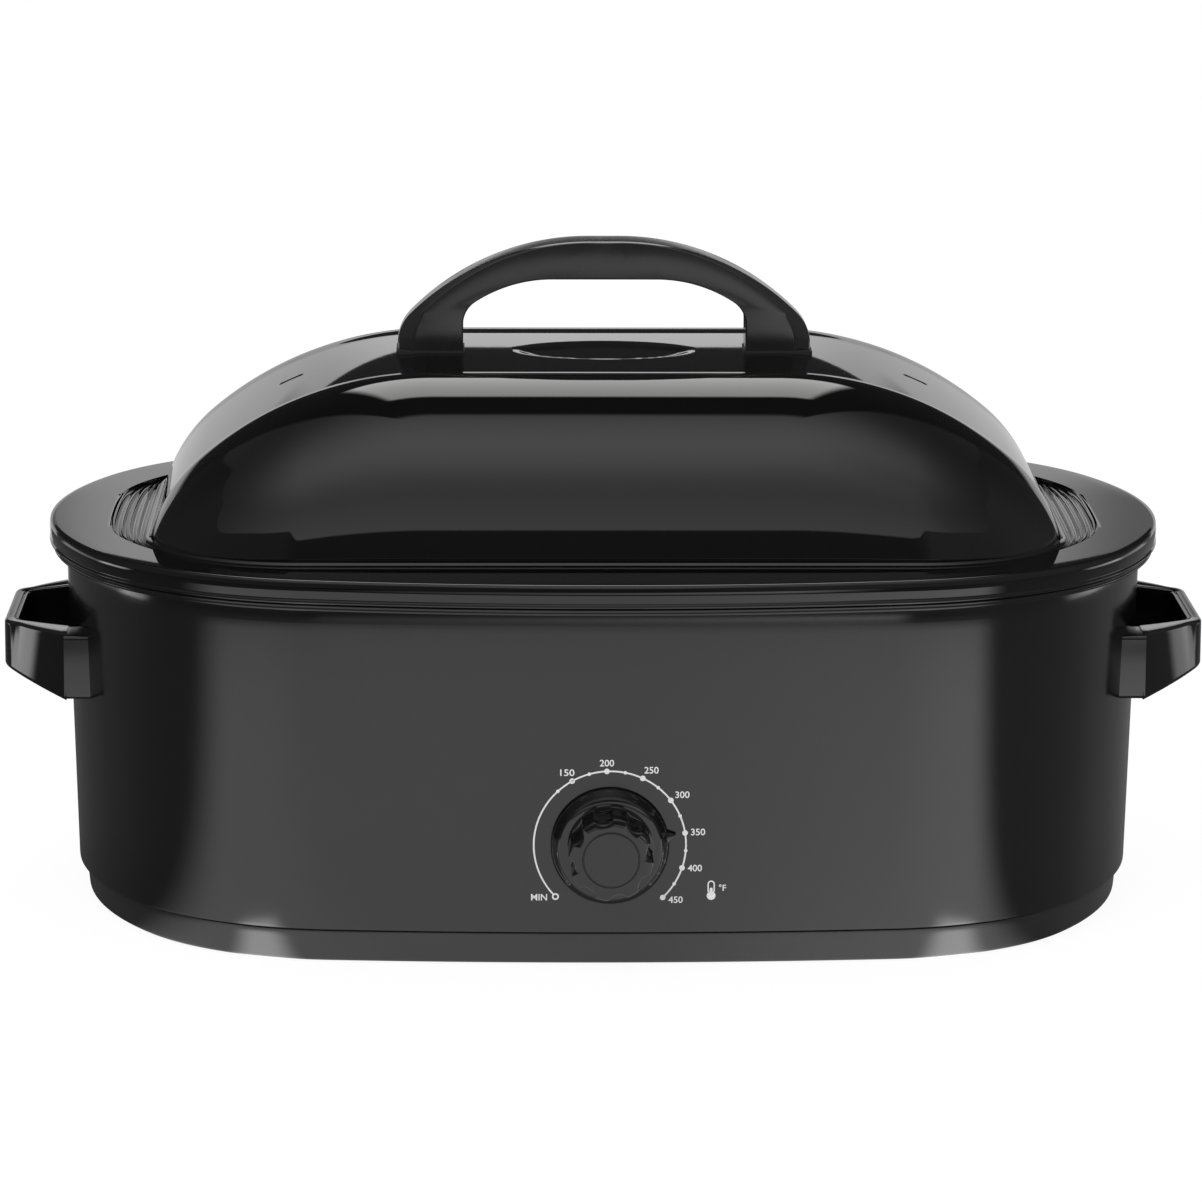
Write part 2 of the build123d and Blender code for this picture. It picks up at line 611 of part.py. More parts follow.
def side_handle(side):
    """Loop handle: two arms and an outer bar round a finger opening, and a boss in each arm."""
    slope = (HANDLE_ROOT_HALF - HANDLE_BAR_HALF) / HANDLE_LENGTH
    root = Vector(HANDLE_PLANE, HANDLE_ROOT_HALF)
    corner = Vector(HANDLE_REACH, HANDLE_BAR_HALF)
    outward = Vector(slope, 1).normalized() * HANDLE_BULGE
    back = ThreePointArc(root, (root + corner) / 2 + outward, corner)
    front = mirror(back, about=Plane.XZ)
    bar = Line(back @ 1, front @ 1)
    inside_end = Line(front @ 0, back @ 0)
    low = HANDLE_TOP - HANDLE_ROOT_DROP
    outline = make_face([back, bar, front, inside_end])
    block = slab(Pos(0, 0, low) * outline, HANDLE_ROOT_DROP)
    upright = block.edges().filter_by(Axis.Z).group_by(Axis.X)[-1]
    block = fillet(upright, HANDLE_CORNER)
    rise = HANDLE_ROOT_DROP - HANDLE_BAR_DROP
    under = Polyline(
        (HANDLE_PLANE, 0, low),
        (HANDLE_REACH, 0, low + rise),
        (2 * HANDLE_REACH, 0, low + rise),
        (2 * HANDLE_REACH, 0, low - rise),
        (HANDLE_PLANE, 0, low - rise),
        close=True,
    )
    block -= extrude(make_face(under), amount=2 * HANDLE_ROOT_HALF, both=True)
    block = fillet(block.edges().group_by(Axis.Z)[-1].filter_by(
        lambda edge: edge.center().X > HANDLE_PLANE + TINY), HANDLE_ROUND)
    inner = HANDLE_REACH - HANDLE_BAR_WALL
    opening = Polyline(
        (0, -HANDLE_GRIP_HALF),
        (HANDLE_PLANE, -HANDLE_GRIP_HALF),
        (inner, -HANDLE_GRIP_END),
        (inner, HANDLE_GRIP_END),
        (HANDLE_PLANE, HANDLE_GRIP_HALF),
        (0, HANDLE_GRIP_HALF),
        close=True,
    )
    block -= slab(make_face(opening), 2 * HANDLE_TOP)
    for y in (-HANDLE_SCREW_Y, HANDLE_SCREW_Y):
        depth = (HANDLE_ROOT_HALF - HANDLE_SCREW_Y) / slope
        boss = rod_x(HANDLE_BOSS_RADIUS, 0, HANDLE_PLANE + depth / 2, y, handle_screw_z())
        block += boss - wrap_solid(0)
    handle = block - wrap_solid(0)
    if side < 0:
        handle = mirror(handle, about=Plane.YZ)
    for y in (-HANDLE_SCREW_Y, HANDLE_SCREW_Y):
        handle -= handle_screw(side, y)
    return handle


def handle_screw_x():
    """Distance from the oven's axis to the wrap's inner face at a handle screw."""
    grow = wrap_grow(handle_screw_z()) - WRAP_WALL
    half_length, _, _, end, _ = (size + grow for size in WRAP_OVAL)
    return half_length - end + math.sqrt(end**2 - HANDLE_SCREW_Y**2)


def handle_screw(side, y):
    """Pan head screw from inside the wrap into a handle's boss."""
    wall = handle_screw_x()
    z = handle_screw_z()
    head_start = wall - HANDLE_SCREW_HEAD_HEIGHT
    head = rod_x(HANDLE_SCREW_HEAD, side * head_start, side * (wall + WRAP_WALL), y, z)
    head &= wrap_solid(-WRAP_WALL)
    end = wall + HANDLE_SCREW_DEPTH
    return head + rod_x(HANDLE_SCREW_RADIUS, side * (wall - WRAP_WALL), side * end, y, z)


# ---------------------------------------------------------------- lid
def dome_section(turn, grow):
    """Face across the dome where its end arch has turned by so many degrees."""
    sine = math.sin(math.radians(turn))
    cosine = math.cos(math.radians(turn))
    if turn <= DOME_ARCH_TURN:
        x = DOME_FLAT_HALF + (DOME_ARCH_RADIUS + grow) * sine
        height = DOME_HEIGHT - DOME_ARCH_RADIUS + (DOME_ARCH_RADIUS + grow) * cosine
    else:
        step = DOME_ARCH_RADIUS - DOME_END_RADIUS
        x = DOME_FLAT_HALF + step * DOME_ARCH_SINE + (DOME_END_RADIUS + grow) * sine
        centre = DOME_HEIGHT - DOME_ARCH_RADIUS + step * DOME_ARCH_COSINE
        height = centre + (DOME_END_RADIUS + grow) * cosine
    past_corner = max(0.0, x - DOME_CORNER_X)
    half_depth = CREASE_Y + math.sqrt((DOME_CORNER + grow) ** 2 - past_corner**2)
    return dome_face(x, half_depth, height)


def dome_face(x, half_depth, height):
    """Flat top between the creases, and a full shoulder down to the flange on both sides."""
    base = FLANGE_TOP
    wide = half_depth - CREASE_Y
    shoulder = [
        (half_depth, 0.0),
        (half_depth - 0.03 * wide, 0.5 * height),
        (CREASE_Y + 0.6 * wide, 0.9 * height),
        (CREASE_Y, height),
    ]
    front = Bezier(*[(x, -y, base + z) for y, z in shoulder])
    back = Bezier(*[(x, y, base + z) for y, z in reversed(shoulder)])
    top = Line(front @ 1, back @ 0)
    floor = Line(back @ 1, front @ 0)
    return Face(Wire([front, top, back, floor]))


def dome_solid(grow):
    """The dome above the flange: a straight middle and two arched ends."""
    middle = dome_section(0, grow)
    dome = extrude(middle, amount=2 * DOME_FLAT_HALF, dir=(-1, 0, 0))
    turns = [0, 8, 16, 24, 32, 40, 48, 56, 63, 69, 73]
    end = loft([dome_section(turn, grow) for turn in turns])
    return dome + end + mirror(end, about=Plane.YZ)


def dimple(grow):
    """Shallow oval pressed into the dome's flat top."""
    half_x, half_y = DIMPLE_HALF
    outline = Ellipse(half_x + grow, half_y + grow)
    bottom = DOME_TOP - DIMPLE_DEPTH - grow
    return slab(Pos(0, 0, bottom) * outline, DIMPLE_DEPTH + grow + 1)


def dome_block(grow, bottom, top):
    """Plan form of the dome at the flange."""
    return rounded_block(
        DOME_HALF_LENGTH + grow, DOME_HALF_DEPTH + grow, DOME_CORNER + grow, bottom, top
    )


def recess_block(share, grow, half_depth, bottom, top):
    """Plan form part of the way from the dome's outline to the recess's, cut off at its sides."""
    half_length = DOME_HALF_LENGTH + share * RECESS_REACH + grow
    corner = DOME_CORNER + share * (RECESS_CORNER - DOME_CORNER) + grow
    block = rounded_block(half_length, DOME_HALF_DEPTH + grow, corner, bottom, top)
    clip = Box(2 * half_length, 2 * (half_depth + grow), 2 * (top - bottom + 1))
    return block & Pos(0, 0, bottom) * clip


def recess_rib(share):
    """Rib that follows the dome's end at a share of the recess's width."""
    low = FLANGE_TOP - RECESS_DEPTH
    high = low + RIB_HEIGHT
    half_depth = RECESS_HALF_DEPTH - RIB_INSET
    rib = recess_block(share, RIB_WIDTH / 2, half_depth, low, high)
    return rib - recess_block(share, -RIB_WIDTH / 2, DOME_HALF_DEPTH, low - 1, high + 1)


def lid_flange():
    """Wide flange with its turned-down lip, and a sunk, ribbed tray at both ends of the dome."""
    lip_low = FLANGE_TOP - LID_LIP
    outer = oval_slab(FLANGE_OVAL, 0, lip_low, FLANGE_TOP)
    outer = fillet(outer.edges().group_by(Axis.Z)[-1], LID_EDGE_ROUND)
    inner = oval_slab(FLANGE_OVAL, -LID_WALL, lip_low - 1, FLANGE_TOP - LID_WALL)
    inner = fillet(inner.edges().group_by(Axis.Z)[-1], LID_EDGE_ROUND - LID_WALL)
    flange = outer - inner
    tray_low = FLANGE_TOP - RECESS_DEPTH - LID_WALL
    middle = FLANGE_TOP - LID_WALL / 2
    flange += recess_block(1, LID_WALL, RECESS_HALF_DEPTH, tray_low, middle)
    pocket = recess_block(
        1, 0, RECESS_HALF_DEPTH, FLANGE_TOP - RECESS_DEPTH, FLANGE_TOP + 1
    )
    flange -= pocket - dome_block(RECESS_START, tray_low - 1, FLANGE_TOP + 2)
    for rib in range(1, RECESS_RIBS + 1):
        flange += recess_rib(rib / (RECESS_RIBS + 1))
    return flange - dome_block(-2 * LID_WALL, tray_low - 1, FLANGE_TOP + 1)


def dome_shell():
    """The dome's wall with its dimple, its vent slits and the holes for the handle's screws."""
    dome = dome_solid(0) - dimple(0)
    dome -= dome_solid(-LID_WALL) - dimple(LID_WALL)
    for side in (-1, 1):
        slit = Pos(side * SLIT_X, 0, FLANGE_TOP + LID_WALL) * SlotOverall(*SLIT)
        dome -= slab(slit, DOME_HEIGHT)
        hole_x = side * lid_screw_x()
        dome -= rod_z(LID_SCREW_RADIUS + HOLE_GAP, FLANGE_TOP, DOME_TOP + 1, hole_x)
    return dome


GRIP_ARC_SINE = math.sin(math.radians(LID_GRIP_ARC_TURN))
GRIP_ARC_COSINE = math.cos(math.radians(LID_GRIP_ARC_TURN))
LID_GRIP_HALF = (
    LID_GRIP_FLAT + LID_GRIP_ARC * GRIP_ARC_SINE + LID_GRIP_SHOULDER * (1 - GRIP_ARC_SINE)
)
GRIP_INNER_SINE = math.sin(math.radians(LID_GRIP_INNER_TURN))
LID_GRIP_INNER_HALF = (
    LID_GRIP_INNER_FLAT
    + LID_GRIP_INNER_ARC * GRIP_INNER_SINE
    + LID_GRIP_INNER_CORNER * (1 - GRIP_INNER_SINE)
)


def lid_screw_x():
    return LID_GRIP_INNER_HALF + LID_SCREW_INSET


def arch_face(flat, arc, turn, corner, top, bottom):
    """Upright face under an arch: a flat crown, two arcs on each side and straight legs."""
    sine = math.sin(math.radians(turn))
    cosine = math.cos(math.radians(turn))
    half_sine = math.sin(math.radians(turn / 2))
    half_cosine = math.cos(math.radians(turn / 2))
    last = math.radians((turn + 90) / 2)
    knee_x = flat + arc * sine
    knee_z = top - arc * (1 - cosine)
    centre_x = knee_x - corner * sine
    centre_z = knee_z - corner * cosine
    right = [
        (flat, top),
        (flat + arc * half_sine, top - arc * (1 - half_cosine)),
        (knee_x, knee_z),
        (centre_x + corner * math.sin(last), centre_z + corner * math.cos(last)),
        (centre_x + corner, centre_z),
    ]
    right = [(x, 0, z) for x, z in right]
    left = [(-x, 0, z) for x, _, z in right]
    foot_right = (right[-1][0], 0, bottom)
    foot_left = (left[-1][0], 0, bottom)
    edges = [
        Line(left[0], right[0]),
        ThreePointArc(*right[0:3]),
        ThreePointArc(*right[2:5]),
        Line(right[4], foot_right),
        Line(foot_right, foot_left),
        Line(foot_left, left[4]),
        ThreePointArc(*left[4:1:-1]),
        ThreePointArc(*left[2::-1]),
    ]
    return Face(Wire(edges))


def lid_handle():
    """Arched grip on two feet."""
    foot_low = DOME_TOP + GASKET_WALL
    outer = arch_face(
        LID_GRIP_FLAT,
        LID_GRIP_ARC,
        LID_GRIP_ARC_TURN,
        LID_GRIP_SHOULDER,
        DOME_TOP + LID_GRIP_TOP,
        foot_low,
    )
    inner = arch_face(
        LID_GRIP_INNER_FLAT,
        LID_GRIP_INNER_ARC,
        LID_GRIP_INNER_TURN,
        LID_GRIP_INNER_CORNER,
        DOME_TOP + LID_GRIP_UNDER,
        DOME_TOP,
    )
    grip = extrude(outer, amount=LID_GRIP_DEPTH / 2, both=True)
    long_edges = grip.edges().filter_by(lambda edge: edge.center().Z > foot_low + TINY)
    long_edges = long_edges.filter_by(lambda edge: abs(edge.center().Y) > TINY)
    grip = fillet(long_edges, LID_GRIP_ROUND)
    grip -= extrude(inner, amount=LID_GRIP_DEPTH, both=True)
    for side in (-1, 1):
        grip -= lid_screw(side)
    return grip


def lid_gasket(side):
    """Thin heat-proof pad under a foot of the lid's handle."""
    middle = side * (LID_GRIP_HALF + LID_GRIP_INNER_HALF) / 2
    length = LID_GRIP_HALF - LID_GRIP_INNER_HALF + 2 * GASKET_MARGIN
    depth = LID_GRIP_DEPTH + 2 * GASKET_MARGIN
    low = DOME_TOP - 2 * GASKET_WALL
    pad = slab(Pos(middle, 0, low) * Rectangle(length, depth), 3 * GASKET_WALL)
    pad -= dome_solid(0)
    return pad - rod_z(LID_SCREW_RADIUS + HOLE_GAP, low, DOME_TOP + 5, side * lid_screw_x())


def lid_washer(side):
    top = DOME_TOP - LID_WALL
    x = side * lid_screw_x()
    washer = rod_z(LID_WASHER_RADIUS, top - LID_WASHER_WALL, top, x)
    washer &= dome_solid(-LID_WALL)
    return washer - rod_z(LID_SCREW_RADIUS + HOLE_GAP, FLANGE_TOP, DOME_TOP, x)


def lid_screw(side):
    """Pan head screw from inside the dome up into a foot of the handle."""
    x = side * lid_screw_x()
    seat = DOME_TOP - LID_WALL - LID_WASHER_WALL
    head = rod_z(LID_SCREW_HEAD, seat - LID_SCREW_HEAD_HEIGHT, seat, x)
    return head + rod_z(LID_SCREW_RADIUS, seat, DOME_TOP + LID_SCREW_DEPTH, x)


# ---------------------------------------------------------------- pan and rack
def removable_pan():
    """Enamelled pan that hangs in the well by its wide rim."""
    outer = well_solid(PAN_WALL, PAN_FLOOR, PAN_TOP)
    outer = fillet(outer.edges().group_by(Axis.Z)[0], PAN_CORNER + PAN_WALL)
    inner = well_solid(0, PAN_FLOOR + PAN_WALL, PAN_TOP + 1)
    inner = fillet(inner.edges().group_by(Axis.Z)[0], PAN_CORNER)
    rim_grow = -LID_WALL - LID_LIP_GAP
    edge = LID_EDGE_ROUND - LID_WALL
    rim = oval_slab(FLANGE_OVAL, rim_grow, PAN_TOP - PAN_LIP, PAN_TOP)
    rim = fillet(rim.edges().group_by(Axis.Z)[-1], edge)
    under = oval_slab(FLANGE_OVAL, rim_grow - PAN_WALL, 0, PAN_TOP - PAN_WALL)
    rim -= fillet(under.edges().group_by(Axis.Z)[-1], edge - PAN_WALL / 2)
    return outer + rim - inner


def rack():
    """Wire rack: a rounded frame, cross wires, two long wires and four bent legs."""
    z = PAN_FLOOR + PAN_WALL + RACK_RISE
    outline = RectangleRounded(2 * RACK_HALF_LENGTH, 2 * RACK_HALF_DEPTH, RACK_CORNER)
    path = Pos(0, 0, z) * outline.wire()
    section = Plane(origin=path @ 0, z_dir=path % 0) * Circle(RACK_FRAME)
    wires = sweep(section, path=path)
    pitch = 2 * (RACK_HALF_LENGTH - RACK_CORNER) / (RACK_BARS - 1)
    for bar in range(RACK_BARS):
        x = RACK_CORNER - RACK_HALF_LENGTH + bar * pitch
        wires += rod_y(RACK_WIRE, -RACK_HALF_DEPTH, RACK_HALF_DEPTH, x, z)
    for y in (-RACK_HALF_DEPTH / 2, RACK_HALF_DEPTH / 2):
        wires += rod_x(RACK_WIRE, -RACK_HALF_LENGTH, RACK_HALF_LENGTH, y, z)
    floor = PAN_FLOOR + PAN_WALL
    for x in (-RACK_LEG_X, RACK_LEG_X):
        for y in (-RACK_HALF_DEPTH, RACK_HALF_DEPTH):
            wires += rod_z(RACK_FRAME, floor, z, x, y)
    return wires


# ---------------------------------------------------------------- the whole oven
FEET = {}
BASE_SCREWS = {}
for end_name, end_sign in (("left", -1), ("right", 1)):
    for face_name, face_sign in (("front", -1), ("back", 1)):
        place = f"{face_name}_{end_name}"
        FEET[f"foot_{place}"] = foot(end_sign * FOOT_X, face_sign * FOOT_Y)
        BASE_SCREWS[f"base_screw_{place}"] = base_screw(
            end_sign * BASE_SCREW_X, face_sign * BASE_SCREW_Y
        )

nodes = {
    "outer_wrap": outer_wrap(),
    "base_ring": base_ring(),
    "bottom_plate": bottom_plate(),
    "liner": liner(),
    "centre_stud": centre_stud(),
    "stud_nut": stud_nut(),
    "spacer_lower": spacer(PLATE_TOP, REFLECTOR_Z),
    "spacer_upper": spacer(REFLECTOR_Z + REFLECTOR_WALL, LINER_FLOOR - LINER_WALL),
    "heat_reflector": reflector(),
    "heater_band": heater_band(),
    "band_spring_lower": band_spring(BAND_BOTTOM + BAND_SPRING_INSET),
    "band_spring_upper": band_spring(BAND_TOP - BAND_SPRING_INSET),
    "insulation": insulation(),
    "thermostat_body": thermostat_body(),
    "thermostat_nut": thermostat_nut(),
    "thermostat_bracket": thermostat_bracket(),
    "thermostat_shaft": thermostat_shaft(),
    "control_knob": control_knob(),
    "terminal_block": terminal_block(),
    "lead_live": live_lead(),
    "lead_load": load_lead(),
    "lead_neutral": neutral_lead(),
    "lead_earth": earth_lead(),
    "earth_screw": earth_screw(),
    "cord_gland": cord_gland(),
    "removable_pan": removable_pan(),
    "rack": rack(),
    "lid_shell": lid_flange() + dome_shell(),
    "lid_handle": lid_handle(),
}
nodes.update(FEET)
nodes.update(BASE_SCREWS)
for end_name, end_sign in (("left", -1), ("right", 1)):
    nodes[f"side_handle_{end_name}"] = side_handle(end_sign)
    nodes[f"lid_gasket_{end_name}"] = lid_gasket(end_sign)
    nodes[f"lid_washer_{end_name}"] = lid_washer(end_sign)
    nodes[f"lid_screw_{end_name}"] = lid_screw(end_sign)
    for face_name, face_sign in (("front", -1), ("back", 1)):
        nodes[f"handle_screw_{face_name}_{end_name}"] = handle_screw(
            end_sign, face_sign * HANDLE_SCREW_Y
        )

os.makedirs("parts", exist_ok=True)
for name, piece in nodes.items():
    export_step(Pos(0, ORIGIN_SHIFT, 0) * piece, f"parts/{name}.step")
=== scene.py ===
import json
from math import atan2, copysign, cos, degrees, hypot, pi, radians, sin, sqrt

import bmesh
import bpy
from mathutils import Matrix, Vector


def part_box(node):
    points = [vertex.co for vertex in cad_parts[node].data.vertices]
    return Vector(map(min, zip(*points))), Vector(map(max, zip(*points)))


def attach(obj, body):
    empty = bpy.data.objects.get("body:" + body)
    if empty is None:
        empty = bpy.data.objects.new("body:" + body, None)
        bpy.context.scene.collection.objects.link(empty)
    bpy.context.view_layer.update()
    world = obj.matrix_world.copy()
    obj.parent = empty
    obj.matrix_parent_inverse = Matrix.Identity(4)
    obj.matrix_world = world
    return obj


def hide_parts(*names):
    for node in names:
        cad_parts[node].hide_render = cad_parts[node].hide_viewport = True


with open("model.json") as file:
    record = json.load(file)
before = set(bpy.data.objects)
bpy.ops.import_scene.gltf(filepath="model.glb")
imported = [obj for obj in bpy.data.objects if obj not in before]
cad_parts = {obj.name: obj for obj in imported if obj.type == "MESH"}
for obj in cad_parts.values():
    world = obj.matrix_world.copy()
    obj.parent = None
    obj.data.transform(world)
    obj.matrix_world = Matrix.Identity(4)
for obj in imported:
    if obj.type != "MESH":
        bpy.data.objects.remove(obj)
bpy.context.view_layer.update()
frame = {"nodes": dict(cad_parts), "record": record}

MM = 0.001
WRAP_LOW, WRAP_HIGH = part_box("outer_wrap")
AXIS_Y = (WRAP_LOW.y + WRAP_HIGH.y) / 2  # the ovals' centre, in metres

# ------ sizes in millimetres, as in the CAD
# An oval is its half length, its half depth and the radii of its front, end and corner arcs.
FLANGE_OVAL = (277.0, 198.5, 825.0, 240.0, 148.0)  # outer edge of the lid's flange
WRAP_OVAL = (269.0, 185.0, 1505.0, 225.0, 133.0)  # top edge of the outer wrap
BASE_OVAL = (260.5, 179.7, 1580.0, 220.0, 118.0)  # top edge of the base ring
WELL_OVAL = (251.0, 158.0, 1500.0, 380.0, 107.0)  # mouth of the removable pan
WRAP_HALF_LENGTH, WRAP_HALF_DEPTH, WRAP_FRONT, WRAP_END = WRAP_OVAL[:4]
BASE_LOW = 0.5  # the rubber feet hold the base ring this far off the floor
BASE_TOP = 16.0  # lower edge of the wrap, where the base ring shows below it
BASE_WALL = 3.0
WRAP_TOP = 185.9
WRAP_TAPER = 5.0  # the wrap is this much smaller all round at its lower edge
PAN_FLOOR = 36.0  # underside of the pan's floor
PAN_TOP = 187.7
PAN_WALL = 0.9
PAN_TAPER = 14.0  # the pan is this much smaller all round at its floor
PAN_CORNER = 20.0  # inside radius between the pan's wall and floor
FLANGE_TOP = 188.7
HANDLE_TOP = 140.5
HANDLE_ROOT_LOW = 107.5  # underside of the arms where they meet the wrap
HANDLE_RISE = 10.6  # how much higher the underside is at the bar
HANDLE_PLANE = 265.0  # inner ends of the arms
HANDLE_LENGTH = 33.0  # from the inner ends of the arms to the bar's outer face
HANDLE_ROOT_HALF = 77.0
HANDLE_BAR_HALF = 41.0
HANDLE_BAR_WALL = 7.3
HANDLE_GRIP_HALF = 52.0  # half width of the finger opening at the wrap
HANDLE_GRIP_END = 36.0  # half width of the finger opening at the bar
# An edge of the lid's handle is its half flat, its arc, the arc's turn in degrees, the radius of
# its shoulder and its height over the dome's flat top.
GRIP_OUTER = (8.0, 125.0, 45.0, 22.0, 55.8)
GRIP_INNER = (26.0, 70.0, 33.0, 13.3, 36.8)
LID_GRIP_DEPTH = 25.0
GASKET_WALL = 1.2
DIAL_Z = 59.5  # height of the knob's axis
KNOB_BACK = 182.88  # from the ovals' centre to the back of the knob's skirt
KNOB_LENGTH = 29.0
KNOB_GRIP = 20.2
KNOB_LOBES = 8
KNOB_LOBE_TURN = 10.0  # first hollow, counter-clockwise from straight up, in degrees
KNOB_HOLLOW_RADIUS = 6.0
KNOB_HOLLOW_DEPTH = 2.6
KNOB_POCKET = 10.0
KNOB_POCKET_DEPTH = 4.6
KNOB_POINTER = 80.5  # the mark that the knob rests at, clockwise from straight up
DIMPLE_HALF = (44.5, 29.0)
SLIT_X = 156.0
RECESS_HALF_DEPTH = 118.0  # half length of the recess at each end of the flange
DOME_FLAT_HALF = 85.0  # half length of the dome's flat top
DOME_ARCH_RADIUS = 175.0  # upper arc of the dome's ends
DOME_ARCH_TURN = radians(40)
DOME_END_RADIUS = 80.0  # lower arc of the dome's ends
DOME_END_TURN = radians(75)
DOME_HALF_DEPTH = 149.0
DOME_CORNER = 75.0  # plan radius of the dome's corners; the creases start at their centres
CREASE_Y = DOME_HALF_DEPTH - DOME_CORNER
ARCH_DROP = DOME_ARCH_RADIUS * (1 - cos(DOME_ARCH_TURN))
END_DROP = DOME_END_RADIUS * (cos(DOME_ARCH_TURN) - cos(DOME_END_TURN))
DOME_HEIGHT = ARCH_DROP + END_DROP
DOME_KNEE_X = DOME_FLAT_HALF + DOME_ARCH_RADIUS * sin(DOME_ARCH_TURN)
DOME_END_X = DOME_KNEE_X - DOME_END_RADIUS * sin(DOME_ARCH_TURN)
DOME_HALF_LENGTH = DOME_END_X + DOME_END_RADIUS * sin(DOME_END_TURN)
DOME_CORNER_X = DOME_HALF_LENGTH - DOME_CORNER
DOME_TOP = FLANGE_TOP + DOME_HEIGHT


# ------ node trees
def new_node(tree, kind, values=()):
    """Shader node of a kind, with values for its named inputs."""
    node = tree.nodes.new("ShaderNode" + kind)
    for name, value in values:
        node.inputs[name].default_value = value
    return node


class Term:
    """One number in a node tree. Sums and products of terms become Math nodes."""

    def __init__(self, tree, socket):
        self.tree = tree
        self.socket = socket

    def math(self, operation, other=0.0, first=True):
        node = new_node(self.tree, "Math")
        node.operation = operation
        pair = (self, other) if first else (other, self)
        for place, value in enumerate(pair):
            if isinstance(value, Term):
                value.into(node.inputs[place])
            else:
                node.inputs[place].default_value = value
        return Term(self.tree, node.outputs[0])

    def __add__(self, other):
        return self.math("ADD", other)

    def __sub__(self, other):
        return self.math("SUBTRACT", other)

    def __rsub__(self, other):
        return self.math("SUBTRACT", other, first=False)

    def __mul__(self, other):
        return self.math("MULTIPLY", other)

    __radd__ = __add__
    __rmul__ = __mul__

    def into(self, socket):
        self.tree.links.new(self.socket, socket)

    def rise(self, low, high):
        """Smooth step from 0 at low to 1 at high."""
        node = new_node(self.tree, "MapRange", [("From Min", low), ("From Max", high)])
        node.interpolation_type = "SMOOTHSTEP"
        self.into(node.inputs["Value"])
        return Term(self.tree, node.outputs["Result"])

    def fall(self, low, high):
        """Smooth step from 1 at low to 0 at high."""
        return 1.0 - self.rise(low, high)


def new_material(name):
    """Empty material, its tree and the socket of its surface."""
    material = bpy.data.materials.new(name)
    material.use_nodes = True
    tree = material.node_tree
    tree.nodes.clear()
    return material, tree, new_node(tree, "OutputMaterial").inputs["Surface"]


def position_parts(tree, normalise):
    """Object coordinates as three terms, or the direction from the object's origin."""
    place = new_node(tree, "TexCoord").outputs["Object"]
    if normalise:
        unit = new_node(tree, "VectorMath")
        unit.operation = "NORMALIZE"
        tree.links.new(place, unit.inputs[0])
        place = unit.outputs[0]
    split = new_node(tree, "SeparateXYZ")
    tree.links.new(place, split.inputs[0])
    return [Term(tree, socket) for socket in split.outputs]


def noise(tree, scale, detail, stretch):
    """Noise between 0 and 1 that is fixed to the piece; scale is in waves per metre."""
    coordinates = new_node(tree, "TexCoord")
    mapping = new_node(tree, "Mapping", [("Scale", stretch)])
    texture = new_node(tree, "TexNoise", [("Scale", scale), ("Detail", detail)])
    tree.links.new(coordinates.outputs["Object"], mapping.inputs["Vector"])
    tree.links.new(mapping.outputs["Vector"], texture.inputs["Vector"])
    return Term(tree, texture.outputs["Fac"])


FINISHES = {}
LONG = (1.0, 1.0, 12.0)  # fibres that lie flat


def finish(name, colour, roughness, metallic=0.0, ior=1.5, tint=(60.0, 0.1),
           wear=(90.0, 0.1), bump=(400.0, 0.1, 0.05), stretch=(1.0, 1.0, 1.0)):
    """Material whose colour, roughness and surface each vary with a noise of their own.

    tint and wear, of the roughness, are (waves per metre, share of the value), and bump is (waves
    per metre, strength, height in millimetres).
    """
    material, tree, surface = new_material(name)
    FINISHES[name] = material
    shader = new_node(tree, "BsdfPrincipled", [("Metallic", metallic), ("IOR", ior)])
    tree.links.new(shader.outputs[0], surface)
    ramp = new_node(tree, "ValToRGB")
    ends = ((0.3, 1 - tint[1]), (0.7, 1 + tint[1]))
    for element, (position, share) in zip(ramp.color_ramp.elements, ends):
        element.position = position
        element.color = (*(channel * share for channel in colour), 1)
    noise(tree, tint[0], 4.0, stretch).into(ramp.inputs[0])
    tree.links.new(ramp.outputs[0], shader.inputs["Base Color"])
    spread = 2 * roughness * wear[1]
    rough = noise(tree, wear[0], 3.0, stretch) * spread + (roughness - spread / 2)
    rough.into(shader.inputs["Roughness"])
    relief = new_node(tree, "Bump", [("Strength", bump[1]), ("Distance", bump[2] * MM)])
    noise(tree, bump[0], 2.0, stretch).into(relief.inputs["Height"])
    tree.links.new(relief.outputs["Normal"], shader.inputs["Normal"])


finish("wrap_paint", (0.005, 0.005, 0.0054), 0.15, ior=1.52, bump=(700.0, 0.12, 0.05))
finish("base_plastic", (0.016, 0.016, 0.017), 0.2, bump=(1500.0, 0.25, 0.06))
finish("handle_plastic", (0.004, 0.004, 0.0045), 0.06, bump=(300.0, 0.06, 0.05))
finish("lid_enamel", (0.002, 0.002, 0.0022), 0.025, bump=(420.0, 0.1, 0.02))
finish("pan_enamel", (0.004, 0.004, 0.0045), 0.05, bump=(420.0, 0.12, 0.03))
finish("aluminised_steel", (0.55, 0.56, 0.57), 0.34, 1.0, tint=(140.0, 0.12),
       wear=(220.0, 0.3), bump=(900.0, 0.2, 0.03))
finish("bright_aluminium", (0.8, 0.8, 0.81), 0.18, 1.0, wear=(160.0, 0.4), bump=(60.0, 0.3, 0.3))
finish("heater_foil", (0.7, 0.7, 0.7), 0.28, 1.0, wear=(200.0, 0.5), bump=(120.0, 0.5, 0.6))
finish("rack_chrome", (0.75, 0.75, 0.76), 0.08, 1.0, wear=(120.0, 0.5), bump=(300.0, 0.1, 0.03))
finish("screw_steel", (0.6, 0.6, 0.6), 0.3, 1.0, tint=(500.0, 0.15), wear=(600.0, 0.3))
finish("foot_rubber", (0.02, 0.02, 0.02), 0.8, bump=(1200.0, 0.5, 0.1))
finish("gasket_rubber", (0.02, 0.02, 0.02), 0.55, bump=(1200.0, 0.3, 0.08))
